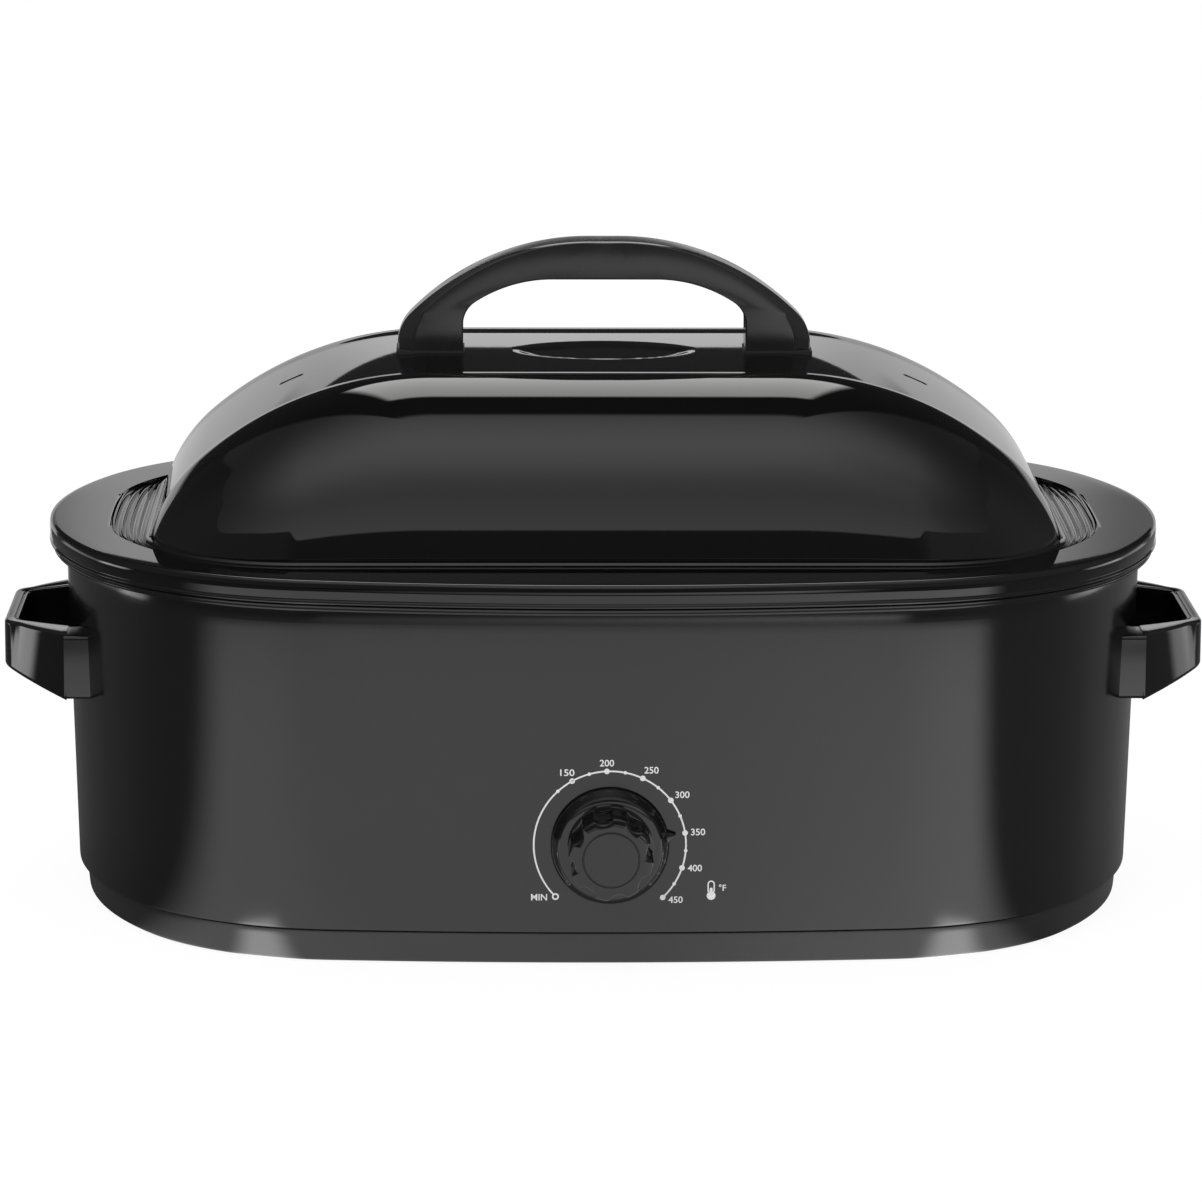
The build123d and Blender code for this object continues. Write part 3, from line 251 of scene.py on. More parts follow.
finish("glass_fibre", (0.8, 0.77, 0.66), 0.95, tint=(300.0, 0.2),
       bump=(500.0, 1.0, 0.8), stretch=LONG)
finish("thermostat_ceramic", (0.7, 0.67, 0.6), 0.6, tint=(250.0, 0.08), bump=(900.0, 0.3, 0.06))
finish("brass", (0.7, 0.52, 0.26), 0.25, 1.0, tint=(300.0, 0.12), bump=(900.0, 0.2, 0.03))
finish("gland_plastic", (0.012, 0.012, 0.012), 0.4, bump=(1000.0, 0.25, 0.05))
finish("lead_sleeve", (0.8, 0.8, 0.76), 0.85, tint=(900.0, 0.2), bump=(1400.0, 0.8, 0.3))
finish("earth_sleeve", (0.1, 0.35, 0.08), 0.45, tint=(200.0, 0.3), bump=(600.0, 0.2, 0.05))
finish("dial_print", (0.93, 0.93, 0.93), 0.45, tint=(900.0, 0.03), bump=(1500.0, 0.2, 0.02))
finish("grip_plastic", (0.014, 0.014, 0.0145), 0.15, bump=(600.0, 0.1, 0.04))
# Near-black for the fill of the steam slits: painted shade in place of their open hollows.
finish("slot_dark", (0.003, 0.003, 0.003), 0.7, bump=(900.0, 0.2, 0.02))
for part in frame["record"]["subparts"]:
    shell = frame["nodes"][part["node"]]
    shell.data.materials.clear()
    shell.data.materials.append(FINISHES[part["material_slot"]])


# ------ outlines
def smooth(value, low, high):
    """Smooth step from 0 at low to 1 at high."""
    share = min(1.0, max(0.0, (value - low) / (high - low)))
    return share * share * (3 - 2 * share)


def shares(steps, first=0):
    """Even steps up to 1, from 0 or from a later one."""
    return [step / steps for step in range(first, steps + 1)]


def circle(count):
    """Even turns of a full circle."""
    return [2 * pi * step / count for step in range(count)]


def polar(centre, radius, turn):
    """Place at a turn clockwise from straight up."""
    return centre[0] + radius * sin(turn), centre[1] + radius * cos(turn)


class Oval:
    """Closed curve of eight tangent arcs. A point is named by its normal's heading."""

    def __init__(self, half_length, half_depth, front, end, corner):
        front_centre = Vector((0.0, half_depth - front))
        end_centre = Vector((half_length - end, 0.0))
        between = end_centre - front_centre
        reach = front - corner
        along = (reach**2 - (end - corner) ** 2 + between.length_squared) / (2 * between.length)
        across = sqrt(reach**2 - along**2)
        unit = between.normalized()
        middle = front_centre + unit * along + Vector((unit.y, -unit.x)) * across
        front_way = middle - front_centre
        end_way = middle - end_centre
        self.turns = (atan2(end_way.y, end_way.x), atan2(front_way.y, front_way.x))
        self.arcs = ((end_centre, end), (middle, corner), (front_centre, front))

    def point(self, heading, grow):
        """Point where the normal has the heading, moved out along it."""
        cosine, sine = cos(heading), sin(heading)
        turn = atan2(abs(sine), abs(cosine))
        centre, radius = self.arcs[sum(turn > limit for limit in self.turns)]
        x = centre.x + (radius + grow) * abs(cosine)
        y = centre.y + (radius + grow) * abs(sine)
        return copysign(x, cosine), copysign(y, sine)

    def headings(self, end, corner, front):
        """Headings round the curve, with so many steps in each arc of a quarter."""
        limits = (0.0, *self.turns, pi / 2)
        quarter = []
        for low, high, steps in zip(limits, limits[1:], (end, corner, front)):
            quarter += [low + (high - low) * share for share in shares(steps)[:-1]]
        half = quarter + [pi - heading for heading in reversed(quarter[1:])]
        half.insert(len(quarter), pi / 2)
        return half + [heading + pi for heading in half]


def rounded_reach(angle, half_x, half_y, corner):
    """Distance from the centre to a rounded rectangle along a ray."""
    cosine, sine = abs(cos(angle)), abs(sin(angle))
    if half_x * sine <= (half_y - corner) * cosine:
        return half_x / cosine
    if half_y * cosine <= (half_x - corner) * sine:
        return half_y / sine
    x, y = half_x - corner, half_y - corner
    along = x * cosine + y * sine
    return along + sqrt(corner**2 - x**2 - y**2 + along**2)


def curve_through(points, steps=6):
    """Smooth line through the points (Catmull-Rom)."""
    ends = [points[0]] + list(points) + [points[-1]]
    line = []
    for first in range(len(points) - 1):
        a, b, c, d = (Vector(point) for point in ends[first:first + 4])
        for t in shares(steps)[:-1]:
            line.append(0.5 * (
                2 * b + (c - a) * t + (2 * a - 5 * b + 4 * c - d) * t**2
                + (3 * b - a - 3 * c + d) * t**3
            ))
    return line + [Vector(points[-1])]


# ------ meshes
def link_object(name, data):
    thing = bpy.data.objects.new(name, data)
    bpy.context.scene.collection.objects.link(thing)
    return thing


def mesh_object(name, points, faces):
    """Mesh object in the scene, from points in metres."""
    mesh = bpy.data.meshes.new(name)
    mesh.from_pydata(points, [], faces)
    mesh.validate()
    return link_object(name, mesh)


def face_outward(mesh):
    """Turn the faces of a closed mesh outwards."""
    edit = bmesh.new()
    edit.from_mesh(mesh)
    bmesh.ops.recalc_face_normals(edit, faces=edit.faces)
    edit.to_mesh(mesh)
    edit.free()


def add_piece(name, points, faces, body, slot, look=None, replaces=(), sharp=40, closed=True):
    """Piece that rides on a body, from points in millimetres about the ovals' centre."""
    piece = mesh_object(name, [(x * MM, y * MM + AXIS_Y, z * MM) for x, y, z in points], faces)
    mesh = piece.data
    if closed:
        face_outward(mesh)
    mesh.shade_smooth()
    mesh.set_sharp_from_angle(angle=radians(sharp))
    mesh.materials.append(FINISHES[look or slot])
    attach(piece, body)
    if replaces:
        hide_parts(*replaces)
    return piece


def grid_faces(rows, columns, start=0, closed_rows=False, closed_columns=True):
    """Quads of a grid whose points are stored row by row."""
    faces = []
    for row in range(rows if closed_rows else rows - 1):
        low = start + row * columns
        high = start + (row + 1) % rows * columns
        for column in range(columns if closed_columns else columns - 1):
            after = (column + 1) % columns
            faces.append((low + column, low + after, high + after, high + column))
    return faces


def flatten(sections):
    return [tuple(point) for section in sections for point in section]


def oval_sections(oval, profile, headings):
    """A section round the oval for each (growth, height) of a profile."""
    return [[(*oval.point(heading, grow), z) for heading in headings] for grow, z in profile]


def oval_ring(name, shape, profile, slot, replaces):
    """Closed profile of the housing swept round an oval."""
    oval = Oval(*shape)
    headings = oval.headings(20, 36, 24)
    points = flatten(oval_sections(oval, profile, headings))
    faces = grid_faces(len(profile), len(headings), closed_rows=True)
    add_piece(name, points, faces, "housing", slot, replaces=replaces)


def round_corners(corners, radii, steps):
    """Closed outline through the corners, each rounded from its radius on."""
    outline = []
    for place, (corner, radius) in enumerate(zip(corners, radii)):
        before = (corners[place - 1] - corner).normalized() * radius
        after = (corners[(place + 1) % len(corners)] - corner).normalized() * radius
        for t in shares(steps):
            outline.append(corner + before * (1 - t) ** 2 + after * t**2)
    return outline


def skin(sections):
    """Points and faces of a solid through sections that have the same number of points."""
    points = flatten(sections)
    count = len(sections[0])
    faces = grid_faces(len(sections), count)
    faces.append(tuple(reversed(range(count))))
    faces.append(tuple(range(len(points) - count, len(points))))
    return points, faces


# ------ outer wrap and base ring
def wrap_grow(z):
    """Growth of the wrap's oval at a height, which is negative below its top edge."""
    return -WRAP_TAPER * (WRAP_TOP - z) / (WRAP_TOP - BASE_TOP)


def make_wrap():
    """Sheet wall that curls in at its foot and steps in under the lid's lip."""
    curl, wall, step_in = 0.75, 0.7, 0.55
    step_low, step_high, rim = 166.5, 173.0, WRAP_TOP - 0.1
    low = wrap_grow(BASE_TOP)
    top = wrap_grow(step_high) - step_in
    outer = [(low - curl, BASE_TOP + 0.25), (low - 0.35, BASE_TOP + 0.1),
             (low - 0.06, BASE_TOP + 0.35), (low, BASE_TOP + 0.9)]
    outer += [(wrap_grow(z), z) for z in (BASE_TOP + 1.6, 60.0, 110.0, 150.0, 162.0)]
    outer += curve_through([
        (wrap_grow(step_low), step_low), (wrap_grow(169.0) - 0.12, 169.0),
        (wrap_grow(171.0) - 0.3, 171.0), (top, step_high)])
    outer += [(top, 178.0), (top, rim)]
    inner = [(top - wall, rim), (top - wall, 166.0), (low - curl, BASE_TOP + 2.0)]
    oval_ring("wrap_skin", WRAP_OVAL, outer + inner, "wrap_paint", ("outer_wrap",))


def make_base_ring():
    """Ring with rounded edges and a floor flange inside."""
    inside, flange_edge, flange_top = -3.4, -40.8, BASE_LOW + BASE_WALL
    outer = curve_through([(-3.2, BASE_LOW), (-2.2, BASE_LOW + 0.25), (-1.5, BASE_LOW + 1.2),
                           (-1.25, BASE_LOW + 2.6)], 4)
    outer += [(-0.9, 6.5), (-0.35, 12.0), (-0.15, 14.4), (-0.3, 15.5), (-0.9, 15.95)]
    inner = [(inside, BASE_TOP), (inside, flange_top), (flange_edge, flange_top),
             (flange_edge, BASE_LOW)]
    oval_ring("base_skin", BASE_OVAL, outer + inner, "base_plastic", ("base_ring",))


# ------ lid
CROWN_FALL = 0.7  # the dome's top lies this much lower at its creases
BACK_LIFT = 0.5  # the top turns up again by this much at the back crease
FRONT_LIFT = 0.3  # and by this much at the front crease
DIMPLE_DEPTH = 1.3  # in the middle
DIMPLE_TILT = 0.013  # the dimple is this much shallower for each millimetre to the back
CROWN_FADE = 10.0  # the shape of the top fades out over the lowest part of the ends
FOOT_ROUND = 2.2  # from the dome's foot to where the flange is flat
# How far the recess reaches beyond that: at the ends, at the front, and in its corners' radius.
RECESS_GROW = (20.8, 8.0, 41.0)
LIP_START = 3.4  # from the flange's outer edge to where it starts to turn down
LID_SKIN_WALL = 0.9


def dome_height(x):
    """Height of the dome's crown line over the flange."""
    x = abs(x)
    if x <= DOME_FLAT_HALF:
        return DOME_HEIGHT
    if x <= DOME_KNEE_X:
        rest = sqrt(DOME_ARCH_RADIUS**2 - (x - DOME_FLAT_HALF) ** 2)
        return DOME_HEIGHT - DOME_ARCH_RADIUS + rest
    rest = sqrt(max(0.0, DOME_END_RADIUS**2 - (x - DOME_END_X) ** 2))
    return rest - DOME_END_RADIUS * cos(DOME_END_TURN)


def dome_stations():
    """Places along the dome, closer together over the dimple and at the bends."""
    bend = DOME_CORNER_X - DOME_FLAT_HALF
    half = [2.0 * step for step in range(26)] + [55.0, 62.0, 70.0, 78.0, DOME_FLAT_HALF]
    half += [DOME_FLAT_HALF + bend * share for share in shares(16, 1)[:-1]]
    half += [DOME_CORNER_X + DOME_CORNER * sin(pi / 2 * share) for share in shares(48)]
    return [-x for x in reversed(half[1:])] + half


def crown_drop(x, y):
    """How far the dome's top lies under its crown line between the creases."""
    drop = CROWN_FALL * (y / CREASE_Y) ** 2
    if y > 0:
        drop -= BACK_LIFT * smooth(y, CREASE_Y - 20.0, CREASE_Y - 2.0)
    else:
        drop -= FRONT_LIFT * smooth(-y, CREASE_Y - 5.5, CREASE_Y - 1.0)
    reach = hypot(x / DIMPLE_HALF[0], y / DIMPLE_HALF[1])
    floor_edge = 0.84 - 0.5 * smooth(y, 0.0, 14.0)
    dish = 1 - smooth(reach, floor_edge, 1.0)
    return drop + dish * (DIMPLE_DEPTH - DIMPLE_TILT * y)


def dome_section(x):
    """Points across the dome, from the front foot over the top to the back foot."""
    height = max(dome_height(x), 0.0)
    fade = min(1.0, height / CROWN_FADE)
    past = max(0.0, abs(x) - DOME_CORNER_X)
    wide = sqrt(max(0.0, DOME_CORNER**2 - past**2))
    half_depth = CREASE_Y + wide
    low = Vector((half_depth, 0.0))
    lower = Vector((half_depth - 0.03 * wide, 0.5 * height))
    upper = Vector((CREASE_Y + 0.6 * wide, 0.9 * height))
    high = Vector((CREASE_Y, height - crown_drop(x, CREASE_Y) * fade))
    shoulder = []
    for t in shares(32)[:-1]:
        shoulder.append(
            low * (1 - t) ** 3 + lower * 3 * t * (1 - t) ** 2
            + upper * 3 * t**2 * (1 - t) + high * t**3
        )
    front = [(x, -point.x, FLANGE_TOP + point.y) for point in shoulder]
    back = [(x, point.x, FLANGE_TOP + point.y) for point in reversed(shoulder)]
    top = []
    for share in shares(74):
        y = CREASE_Y * (2 * share - 1)
        top.append((x, y, FLANGE_TOP + height - crown_drop(x, y) * fade))
    return front + top + back


def foot_reach(angle, grow, share):
    """Reach from the lid's centre to the dome's foot, grown evenly and by part of the recess."""
    length, depth, corner = (grow + reach * share for reach in RECESS_GROW)
    return rounded_reach(angle, DOME_HALF_LENGTH + length, DOME_HALF_DEPTH + depth,
                         DOME_CORNER + corner)


def recess_sink(span, local):
    """Depth of the ribbed recess: span is 0 at its tips, local runs from 0 to 1 across it."""
    wall = smooth(local, 0.0, 0.06) * (1 - smooth(local, 0.92, 1.0))
    ribs = 5
    ridges = 0.5 - 0.5 * cos(2 * pi * ribs * local)
    return smooth(span, 0.02, 0.3) * wall * (3.0 - 2.1 * ridges)


def recess_span(angle):
    """Share of the recess's width that the rings take up at an angle."""
    widest, longest = 0.97, RECESS_HALF_DEPTH - 1.0
    y = abs(sin(angle)) * foot_reach(angle, FOOT_ROUND, 0.5)
    return widest - widest * (min(y, longest) / RECESS_HALF_DEPTH) ** 2.6


def flange_rings():
    """Points of the flange from the dome's foot to the inside of its turned-down lip."""
    oval = Oval(*FLANGE_OVAL)
    headings = oval.headings(18, 36, 24)
    rims = [oval.point(heading, -LIP_START) for heading in headings]
    angles = [atan2(y, x) for x, y in rims]
    points = []

    def outline(grow, spread, depths):
        for angle, share, depth in zip(angles, spread, depths):
            reach = foot_reach(angle, grow, share)
            points.append((reach * cos(angle), reach * sin(angle), FLANGE_TOP - depth))

    none, full = [0.0] * len(angles), [1.0] * len(angles)
    for grow, rise in ((-0.8, 3.0), (-0.35, 1.9), (0.1, 1.1), (0.7, 0.5), (1.4, 0.13),
                       (FOOT_ROUND, 0.0)):
        outline(grow, none, [-rise] * len(angles))
    spans = [recess_span(angle) for angle in angles]
    for local in shares(48, 1):
        outline(FOOT_ROUND, [local * span for span in spans],
                [recess_sink(span, local) for span in spans])
    outline(FOOT_ROUND, full, none)
    inner = points[-len(angles):]
    for share in shares(3, 1):
        for (x, y, _), rim in zip(inner, rims):
            points.append((x + (rim[0] - x) * share, y + (rim[1] - y) * share, FLANGE_TOP))
    lip = curve_through([
        (-LIP_START, 0.0), (-2.6, -0.03), (-1.7, -0.16), (-0.95, -0.5), (-0.5, -1.0),
        (-0.24, -2.0), (-0.08, -3.1), (-0.03, -4.2), (-0.05, -5.4), (-0.18, -6.7), (-0.36, -7.8),
        (-0.5, -8.7), (-0.46, -9.3), (-0.22, -9.7), (-0.04, -10.15), (-0.04, -10.7),
        (-0.25, -11.1), (-0.6, -11.2)], 2)
    profile = [(grow, FLANGE_TOP + drop) for grow, drop in lip[1:]]
    return points + flatten(oval_sections(oval, profile, headings)), len(headings)


def make_lid():
    """Dome and flange as one open sheet, which gets its thickness on the inside."""
    stations = dome_stations()
    points = flatten(dome_section(x) for x in stations)
    columns = len(points) // len(stations)
    rings, count = flange_rings()
    faces = grid_faces(len(stations), columns, closed_columns=False)
    faces += grid_faces(len(rings) // count, count, len(points))
    outward = [tuple(reversed(face)) for face in faces]
    lid = add_piece("lid_skin", points + rings, outward, "lid", "lid_enamel",
                    replaces=("lid_shell",), sharp=50, closed=False)
    wall = lid.modifiers.new("wall", "SOLIDIFY")
    wall.thickness = LID_SKIN_WALL * MM
    wall.offset = -1.0


# ------ pan
def well_grow(z):
    """Growth of the well's oval at a height, which is negative below the pan's top."""
    return -PAN_TAPER * (PAN_TOP - z) / (PAN_TOP - PAN_FLOOR)


def pan_wall(extra, floor, radius):
    """Profile from a ring on the pan's floor round its corner and up its wall."""
    floor_ring = 100.0
    start = well_grow(floor + radius) + extra
    profile = [(extra - floor_ring, floor)]
    for share in reversed(shares(8)):
        turn = pi / 2 * share
        profile.append((start - radius * (1 - cos(turn)), floor + radius * (1 - sin(turn))))
    return profile + [(well_grow(z) + extra, z) for z in (90.0, 130.0, 170.0)]


def make_pan():
    """Pan: its inside from the floor up, over its rolled rim and down its outside."""
    flange, well = Oval(*FLANGE_OVAL), Oval(*WELL_OVAL)
    headings = flange.headings(24, 44, 36)
    rim_low = PAN_TOP - PAN_WALL
    inside = pan_wall(0.0, PAN_FLOOR + PAN_WALL, PAN_CORNER)
    inside += [(0.0, 186.7), (0.15, 187.3), (0.9, PAN_TOP)]
    rim = [(-3.9, PAN_TOP), (-3.0, 187.5), (-2.5, 187.0), (-2.3, 186.2), (-2.3, 177.2)]
    rim += [(-2.15, 176.75), (-1.9, 176.45), (-1.85, 176.1), (-2.0, 175.8), (-2.05, 175.6),
            (-1.9, 175.3), (-1.8, 174.85), (-1.85, 174.3), (-2.1, 173.95), (-2.7, 173.9),
            (-3.2, 174.3), (-3.2, rim_low)]
    outside = [(PAN_WALL, rim_low)]
    outside += reversed(pan_wall(PAN_WALL, PAN_FLOOR, PAN_CORNER + PAN_WALL))
    sections = oval_sections(well, inside, headings)
    sections += oval_sections(flange, rim, headings)
    sections += oval_sections(well, outside, headings)
    add_piece("pan_skin", *skin(sections), "pan", "pan_enamel", replaces=("removable_pan",))


# ------ handles
HANDLE_LOW_ROUND = 0.9  # rounding of the loop handles' lower edges
HANDLE_TOP_ROUND = 1.3  # rounding of their outer top edge
SEAT_SINK = 2.0  # the seats start this far inside the wrap
SEAT_REACH = 1.0  # and end this far beyond the plane where the arms start
SEAT_ROUND = 2.5


def handle_edge(root, corner, bow, cut):
    """One edge of a loop handle's plan, from the back arm over the bar to the front arm.

    The arm bows outwards between root and corner, and the corner is rounded from cut on.
    """
    root, corner = Vector(root), Vector(corner)
    arm = corner - root
    out = Vector((-arm.y, arm.x)).normalized()
    arm_end = 1 - cut / arm.length
    line = []
    for share in shares(12):
        t = arm_end * share
        line.append(root + arm * t + out * 4 * bow * t * (1 - t))
    start, end = line[-1], corner - Vector((0.0, cut))
    for t in shares(8, 1):
        line.append(start * (1 - t) ** 2 + corner * 2 * t * (1 - t) + end * t**2)
    line += [Vector((end.x, end.y * share)) for share in (0.8, 0.5, 0.25, 0.0)]
    return line + [Vector((point.x, -point.y)) for point in reversed(line[:-1])]


def handle_section(outer, inner, side, lean):
    """Section across a loop handle between its outer and inner edge.

    The outer face leans in towards its top, and a small bead runs round the finger opening.
    """
    across = inner - outer
    width = across.length
    along = across.normalized()

    def low(point):
        return HANDLE_ROOT_LOW + HANDLE_RISE * (point.x - HANDLE_PLANE) / HANDLE_LENGTH

    low_edge = ((HANDLE_LOW_ROUND, 0.0), (0.25, 0.2), (0.0, HANDLE_LOW_ROUND))
    bottom, inner_bottom = low(outer), low(inner)
    face = HANDLE_TOP - bottom - HANDLE_LOW_ROUND - HANDLE_TOP_ROUND
    profile = [Vector((back, bottom + rise)) for back, rise in low_edge]
    profile += [Vector((lean * share, bottom + HANDLE_LOW_ROUND + face * share))
                for share in (0.04, 0.96)]
    for share in shares(6):
        turn = pi / 2 * share
        profile.append(Vector((lean + HANDLE_TOP_ROUND * (1 - cos(turn)),
                               HANDLE_TOP - HANDLE_TOP_ROUND * (1 - sin(turn)))))
    bead = ((-2.9, 0.0), (-2.65, -0.15), (-2.5, -0.7), (-2.2, -0.95), (-1.9, -0.8),
            (-1.6, -0.4), (-1.2, -0.2), (-0.7, -0.3), (-0.25, -0.75), (0.0, -1.5))
    profile += [Vector((width + back, HANDLE_TOP + drop)) for back, drop in bead]
    profile += [Vector((width - back, inner_bottom + rise)) for back, rise in reversed(low_edge)]
    section = []
    for point in profile:
        place = outer + along * point.x
        section.append((side * place.x, place.y, point.y))
    return section


def make_handle_seat(side, way, name):
    """Block that carries an arm's end to the wrap, which curves away from it."""
    low, high = HANDLE_ROOT_LOW + 0.4, HANDLE_TOP - 0.5
    near, far = HANDLE_GRIP_HALF + 0.6, HANDLE_ROOT_HALF - 0.4
    corners = [Vector(pair) for pair in ((near, low), (far, low), (far, high), (near, high))]
    outline = round_corners(corners, [SEAT_ROUND] * 4, 6)
    on_wall, on_plane = [], []
    for y, z in outline:
        wall = WRAP_HALF_LENGTH + wrap_grow(z) - WRAP_END + sqrt(WRAP_END**2 - y**2)
        on_wall.append((side * (wall - SEAT_SINK), way * y, z))
        on_plane.append((side * (HANDLE_PLANE + SEAT_REACH), way * y, z))
    add_piece("handle_seat_" + name, *skin([on_wall, on_plane]), "housing", "wrap_paint")


def make_side_handle(side, name):
    bar = HANDLE_PLANE + HANDLE_LENGTH
    outer = handle_edge((HANDLE_PLANE, HANDLE_ROOT_HALF), (bar, HANDLE_BAR_HALF), 2.3, 7.5)
    inner = handle_edge((HANDLE_PLANE, HANDLE_GRIP_HALF),
                        (bar - HANDLE_BAR_WALL, HANDLE_GRIP_END), 0.5, 4.0)
    most_lean = 3.0
    sections = []
    for outer_point, inner_point in zip(outer, inner):
        lean = most_lean * (1 - smooth(outer_point.x, bar - 6.0, bar - 0.5))
        sections.append(handle_section(outer_point, inner_point, side, lean))
    add_piece("handle_loop_" + name, *skin(sections), "housing", "handle_plastic",
              replaces=("side_handle_" + name,), sharp=55)
    make_handle_seat(side, -1, name + "_front")
    make_handle_seat(side, 1, name + "_back")


def arch(flat, arc, turn, shoulder, rise, low):
    """Half of an arch from its middle to its foot: points and how far each has turned."""
    turn, top = radians(turn), DOME_TOP + rise
    line = [(flat * share, top, 0.0) for share in (0.0, 0.5)]
    for share in shares(30):
        angle = turn * share
        line.append((flat + arc * sin(angle), top - arc * (1 - cos(angle)), angle))
    x, z, _ = line[-1]
    for share in shares(12, 1):
        angle = turn + (pi / 2 - turn) * share
        line.append((x + shoulder * (sin(angle) - sin(turn)),
                     z - shoulder * (cos(turn) - cos(angle)), angle))
    x, z, _ = line[-1]
    return line + [(x, z + (low - z) * share, pi / 2) for share in shares(4, 1)]


def grip_section(outer, inner):
    """Section of the lid's handle, with outer edges bevelled more towards its feet."""
    start = Vector((inner[0], 0.0, inner[1]))
    across = Vector((outer[0], 0.0, outer[1])) - start
    width = across.length
    along = across.normalized()
    half = LID_GRIP_DEPTH / 2
    grow = smooth(outer[2], radians(8), radians(62))
    bevel = 0.8 + 7.4 * grow**1.4
    cut = 2.2 + 3.8 * grow**1.4
    rounding = 0.45 + 0.9 * grow
    inner_rounding = 1.0
    corners = [Vector(pair) for pair in (
        (0.0, -half), (width - bevel, -half), (width, cut - half),
        (width, half - cut), (width - bevel, half), (0.0, half))]
    radii = [inner_rounding] + [rounding] * 4 + [inner_rounding]
    section = []
    for point in round_corners(corners, radii, 5):
        place = start + along * point.x
        section.append((place.x, point.y, place.z))
    return section


def make_lid_handle():
    low = DOME_TOP + GASKET_WALL
    half = [grip_section(*pair) for pair in zip(arch(*GRIP_OUTER, low), arch(*GRIP_INNER, low))]
    mirrored = [[(-x, y, z) for x, y, z in section] for section in reversed(half[1:])]
    add_piece("lid_grip", *skin(mirrored + half), "lid", "handle_plastic", "grip_plastic",
              replaces=("lid_handle",), sharp=50)


# ------ knob and dial
POINTER_HALF = 5.0  # degrees to each side of the pointer's tip
POINTER_PROUD = 4.2
DIAL_RADIUS = 36.3
DIAL_LINE = 0.4  # half width of the scale's line
DIAL_START, DIAL_END = -131.9, 135.7  # degrees clockwise from straight up
LARGE_DOTS = (-29.9, -2.5, 25.3, 52.8, 80.7, 108.2, 135.7)
SMALL_DOTS = (-43.2, -16.0, 11.4, 39.0, 66.8, 94.5, 122.0)
LEAST_RING = -134.5  # where the ring for the lowest setting is
TEMPERATURES = (("150", (-20.4, 35.6)), ("200", (-1.6, 40.3)), ("250", (19.6, 36.8)),
                ("300", (34.4, 24.7)), ("350", (42.0, 6.3)), ("400", (40.6, -11.5)),
                ("450", (31.5, -27.1)))
LETTER_WIDTH = 6.8  # of a temperature
THERMOMETER = (48.5, -22.6)
PRINT_LIFT = 0.08  # the print stands this far off the wrap
LAYER_LIFT = 0.0004  # and each part of it a little farther than the one before


def grip_radius(turn):
    """Radius of the scalloped grip at an angle clockwise from straight up."""
    spacing = 2 * pi / KNOB_LOBES
    offset = (turn + radians(KNOB_LOBE_TURN) + spacing / 2) % spacing - spacing / 2
    centre = KNOB_GRIP + KNOB_HOLLOW_RADIUS - KNOB_HOLLOW_DEPTH
    rest = KNOB_HOLLOW_RADIUS**2 - (centre * sin(offset)) ** 2
    if rest <= 0:
        return KNOB_GRIP
    hollow = centre * cos(offset) - sqrt(rest)
    blend = 0.5
    gap = max(0.0, min(1.0, 0.5 + (hollow - KNOB_GRIP) / (2 * blend)))
    return hollow + (KNOB_GRIP - hollow) * gap - blend * gap * (1 - gap)


def make_knob():
    turns = circle(360)

    def row(reach, height):
        """Points round the knob's axis, at the radius that reach gives."""
        return [(reach(turn) * sin(turn), -KNOB_BACK - height,
                 DIAL_Z + reach(turn) * cos(turn)) for turn in turns]

    def ring(radius, height):
        return row(lambda turn: radius, height)

    def skirt(radius, height, share):
        """Ring with a share of the pointer's tip."""
        def reach(turn):
            off = abs(degrees(turn) - KNOB_POINTER) / POINTER_HALF
            return radius + share * POINTER_PROUD * max(0.0, 1 - off)
        return row(reach, height)

    def grip(inset, height):
        return row(lambda turn: grip_radius(turn) - inset, height)

    centre = 0.6
    rows = [ring(centre, KNOB_POCKET_DEPTH), ring(KNOB_POCKET, KNOB_POCKET_DEPTH),
            ring(KNOB_POCKET, 0.0)]
    rows += [skirt(*place) for place in (
        (27.8, 0.0, 1.0), (28.3, 0.35, 1.0), (28.25, 1.0, 1.0), (28.0, 1.5, 0.85),
        (27.75, 2.0, 0.4))]
    rows += [ring(*place) for place in (
        (27.5, 2.4), (26.2, 4.6), (25.5, 5.6), (25.35, 5.95), (25.1, 6.15), (24.85, 6.05),
        (24.6, 6.15), (24.3, 6.4), (23.9, 6.5), (21.2, 6.5), (20.7, 6.55), (20.4, 6.7))]
    rows += [grip(*place) for place in (
        (-0.3, 6.75), (-0.08, 6.95), (0.0, 7.4), (0.0, 20.0), (0.0, 27.6), (0.12, 28.2),
        (0.5, 28.75), (1.1, KNOB_LENGTH))]
    groove = KNOB_LENGTH - 0.4
    rows += [ring(*place) for place in (
        (14.2, KNOB_LENGTH), (13.65, 28.95), (13.4, groove), (13.1, groove), (12.85, 28.95),
        (12.3, KNOB_LENGTH), (centre, KNOB_LENGTH))]
    add_piece("knob_grip", *skin(rows), "knob", "handle_plastic", replaces=("control_knob",),
              sharp=38)


def on_wrap(x, z, lift):
    """Point of the wrap's front face, lifted off it; x and z are from the knob's axis."""
    radius = WRAP_FRONT + wrap_grow(DIAL_Z + z) + lift
    return x, WRAP_FRONT - WRAP_HALF_DEPTH - sqrt(radius**2 - x**2), DIAL_Z + z


def on_dial(turn):
    """Point of the scale's line, by degrees clockwise from straight up."""
    return polar((0.0, 0.0), DIAL_RADIUS, radians(turn))


def band(inner, outer, start, end, steps, closed=False, centre=(0.0, 0.0)):
    """Flat ring or arc between two radii, by degrees clockwise from straight up."""
    points = []
    for share in shares(steps)[:-1] if closed else shares(steps):
        turn = radians(start + (end - start) * share)
        points += [polar(centre, radius, turn) for radius in (inner, outer)]
    return points, grid_faces(len(points) // 2, 2, closed_rows=closed, closed_columns=False)


def disc(centre, radius):
    points = [polar(centre, radius, turn) for turn in circle(28)]
    return points, [tuple(range(len(points)))]


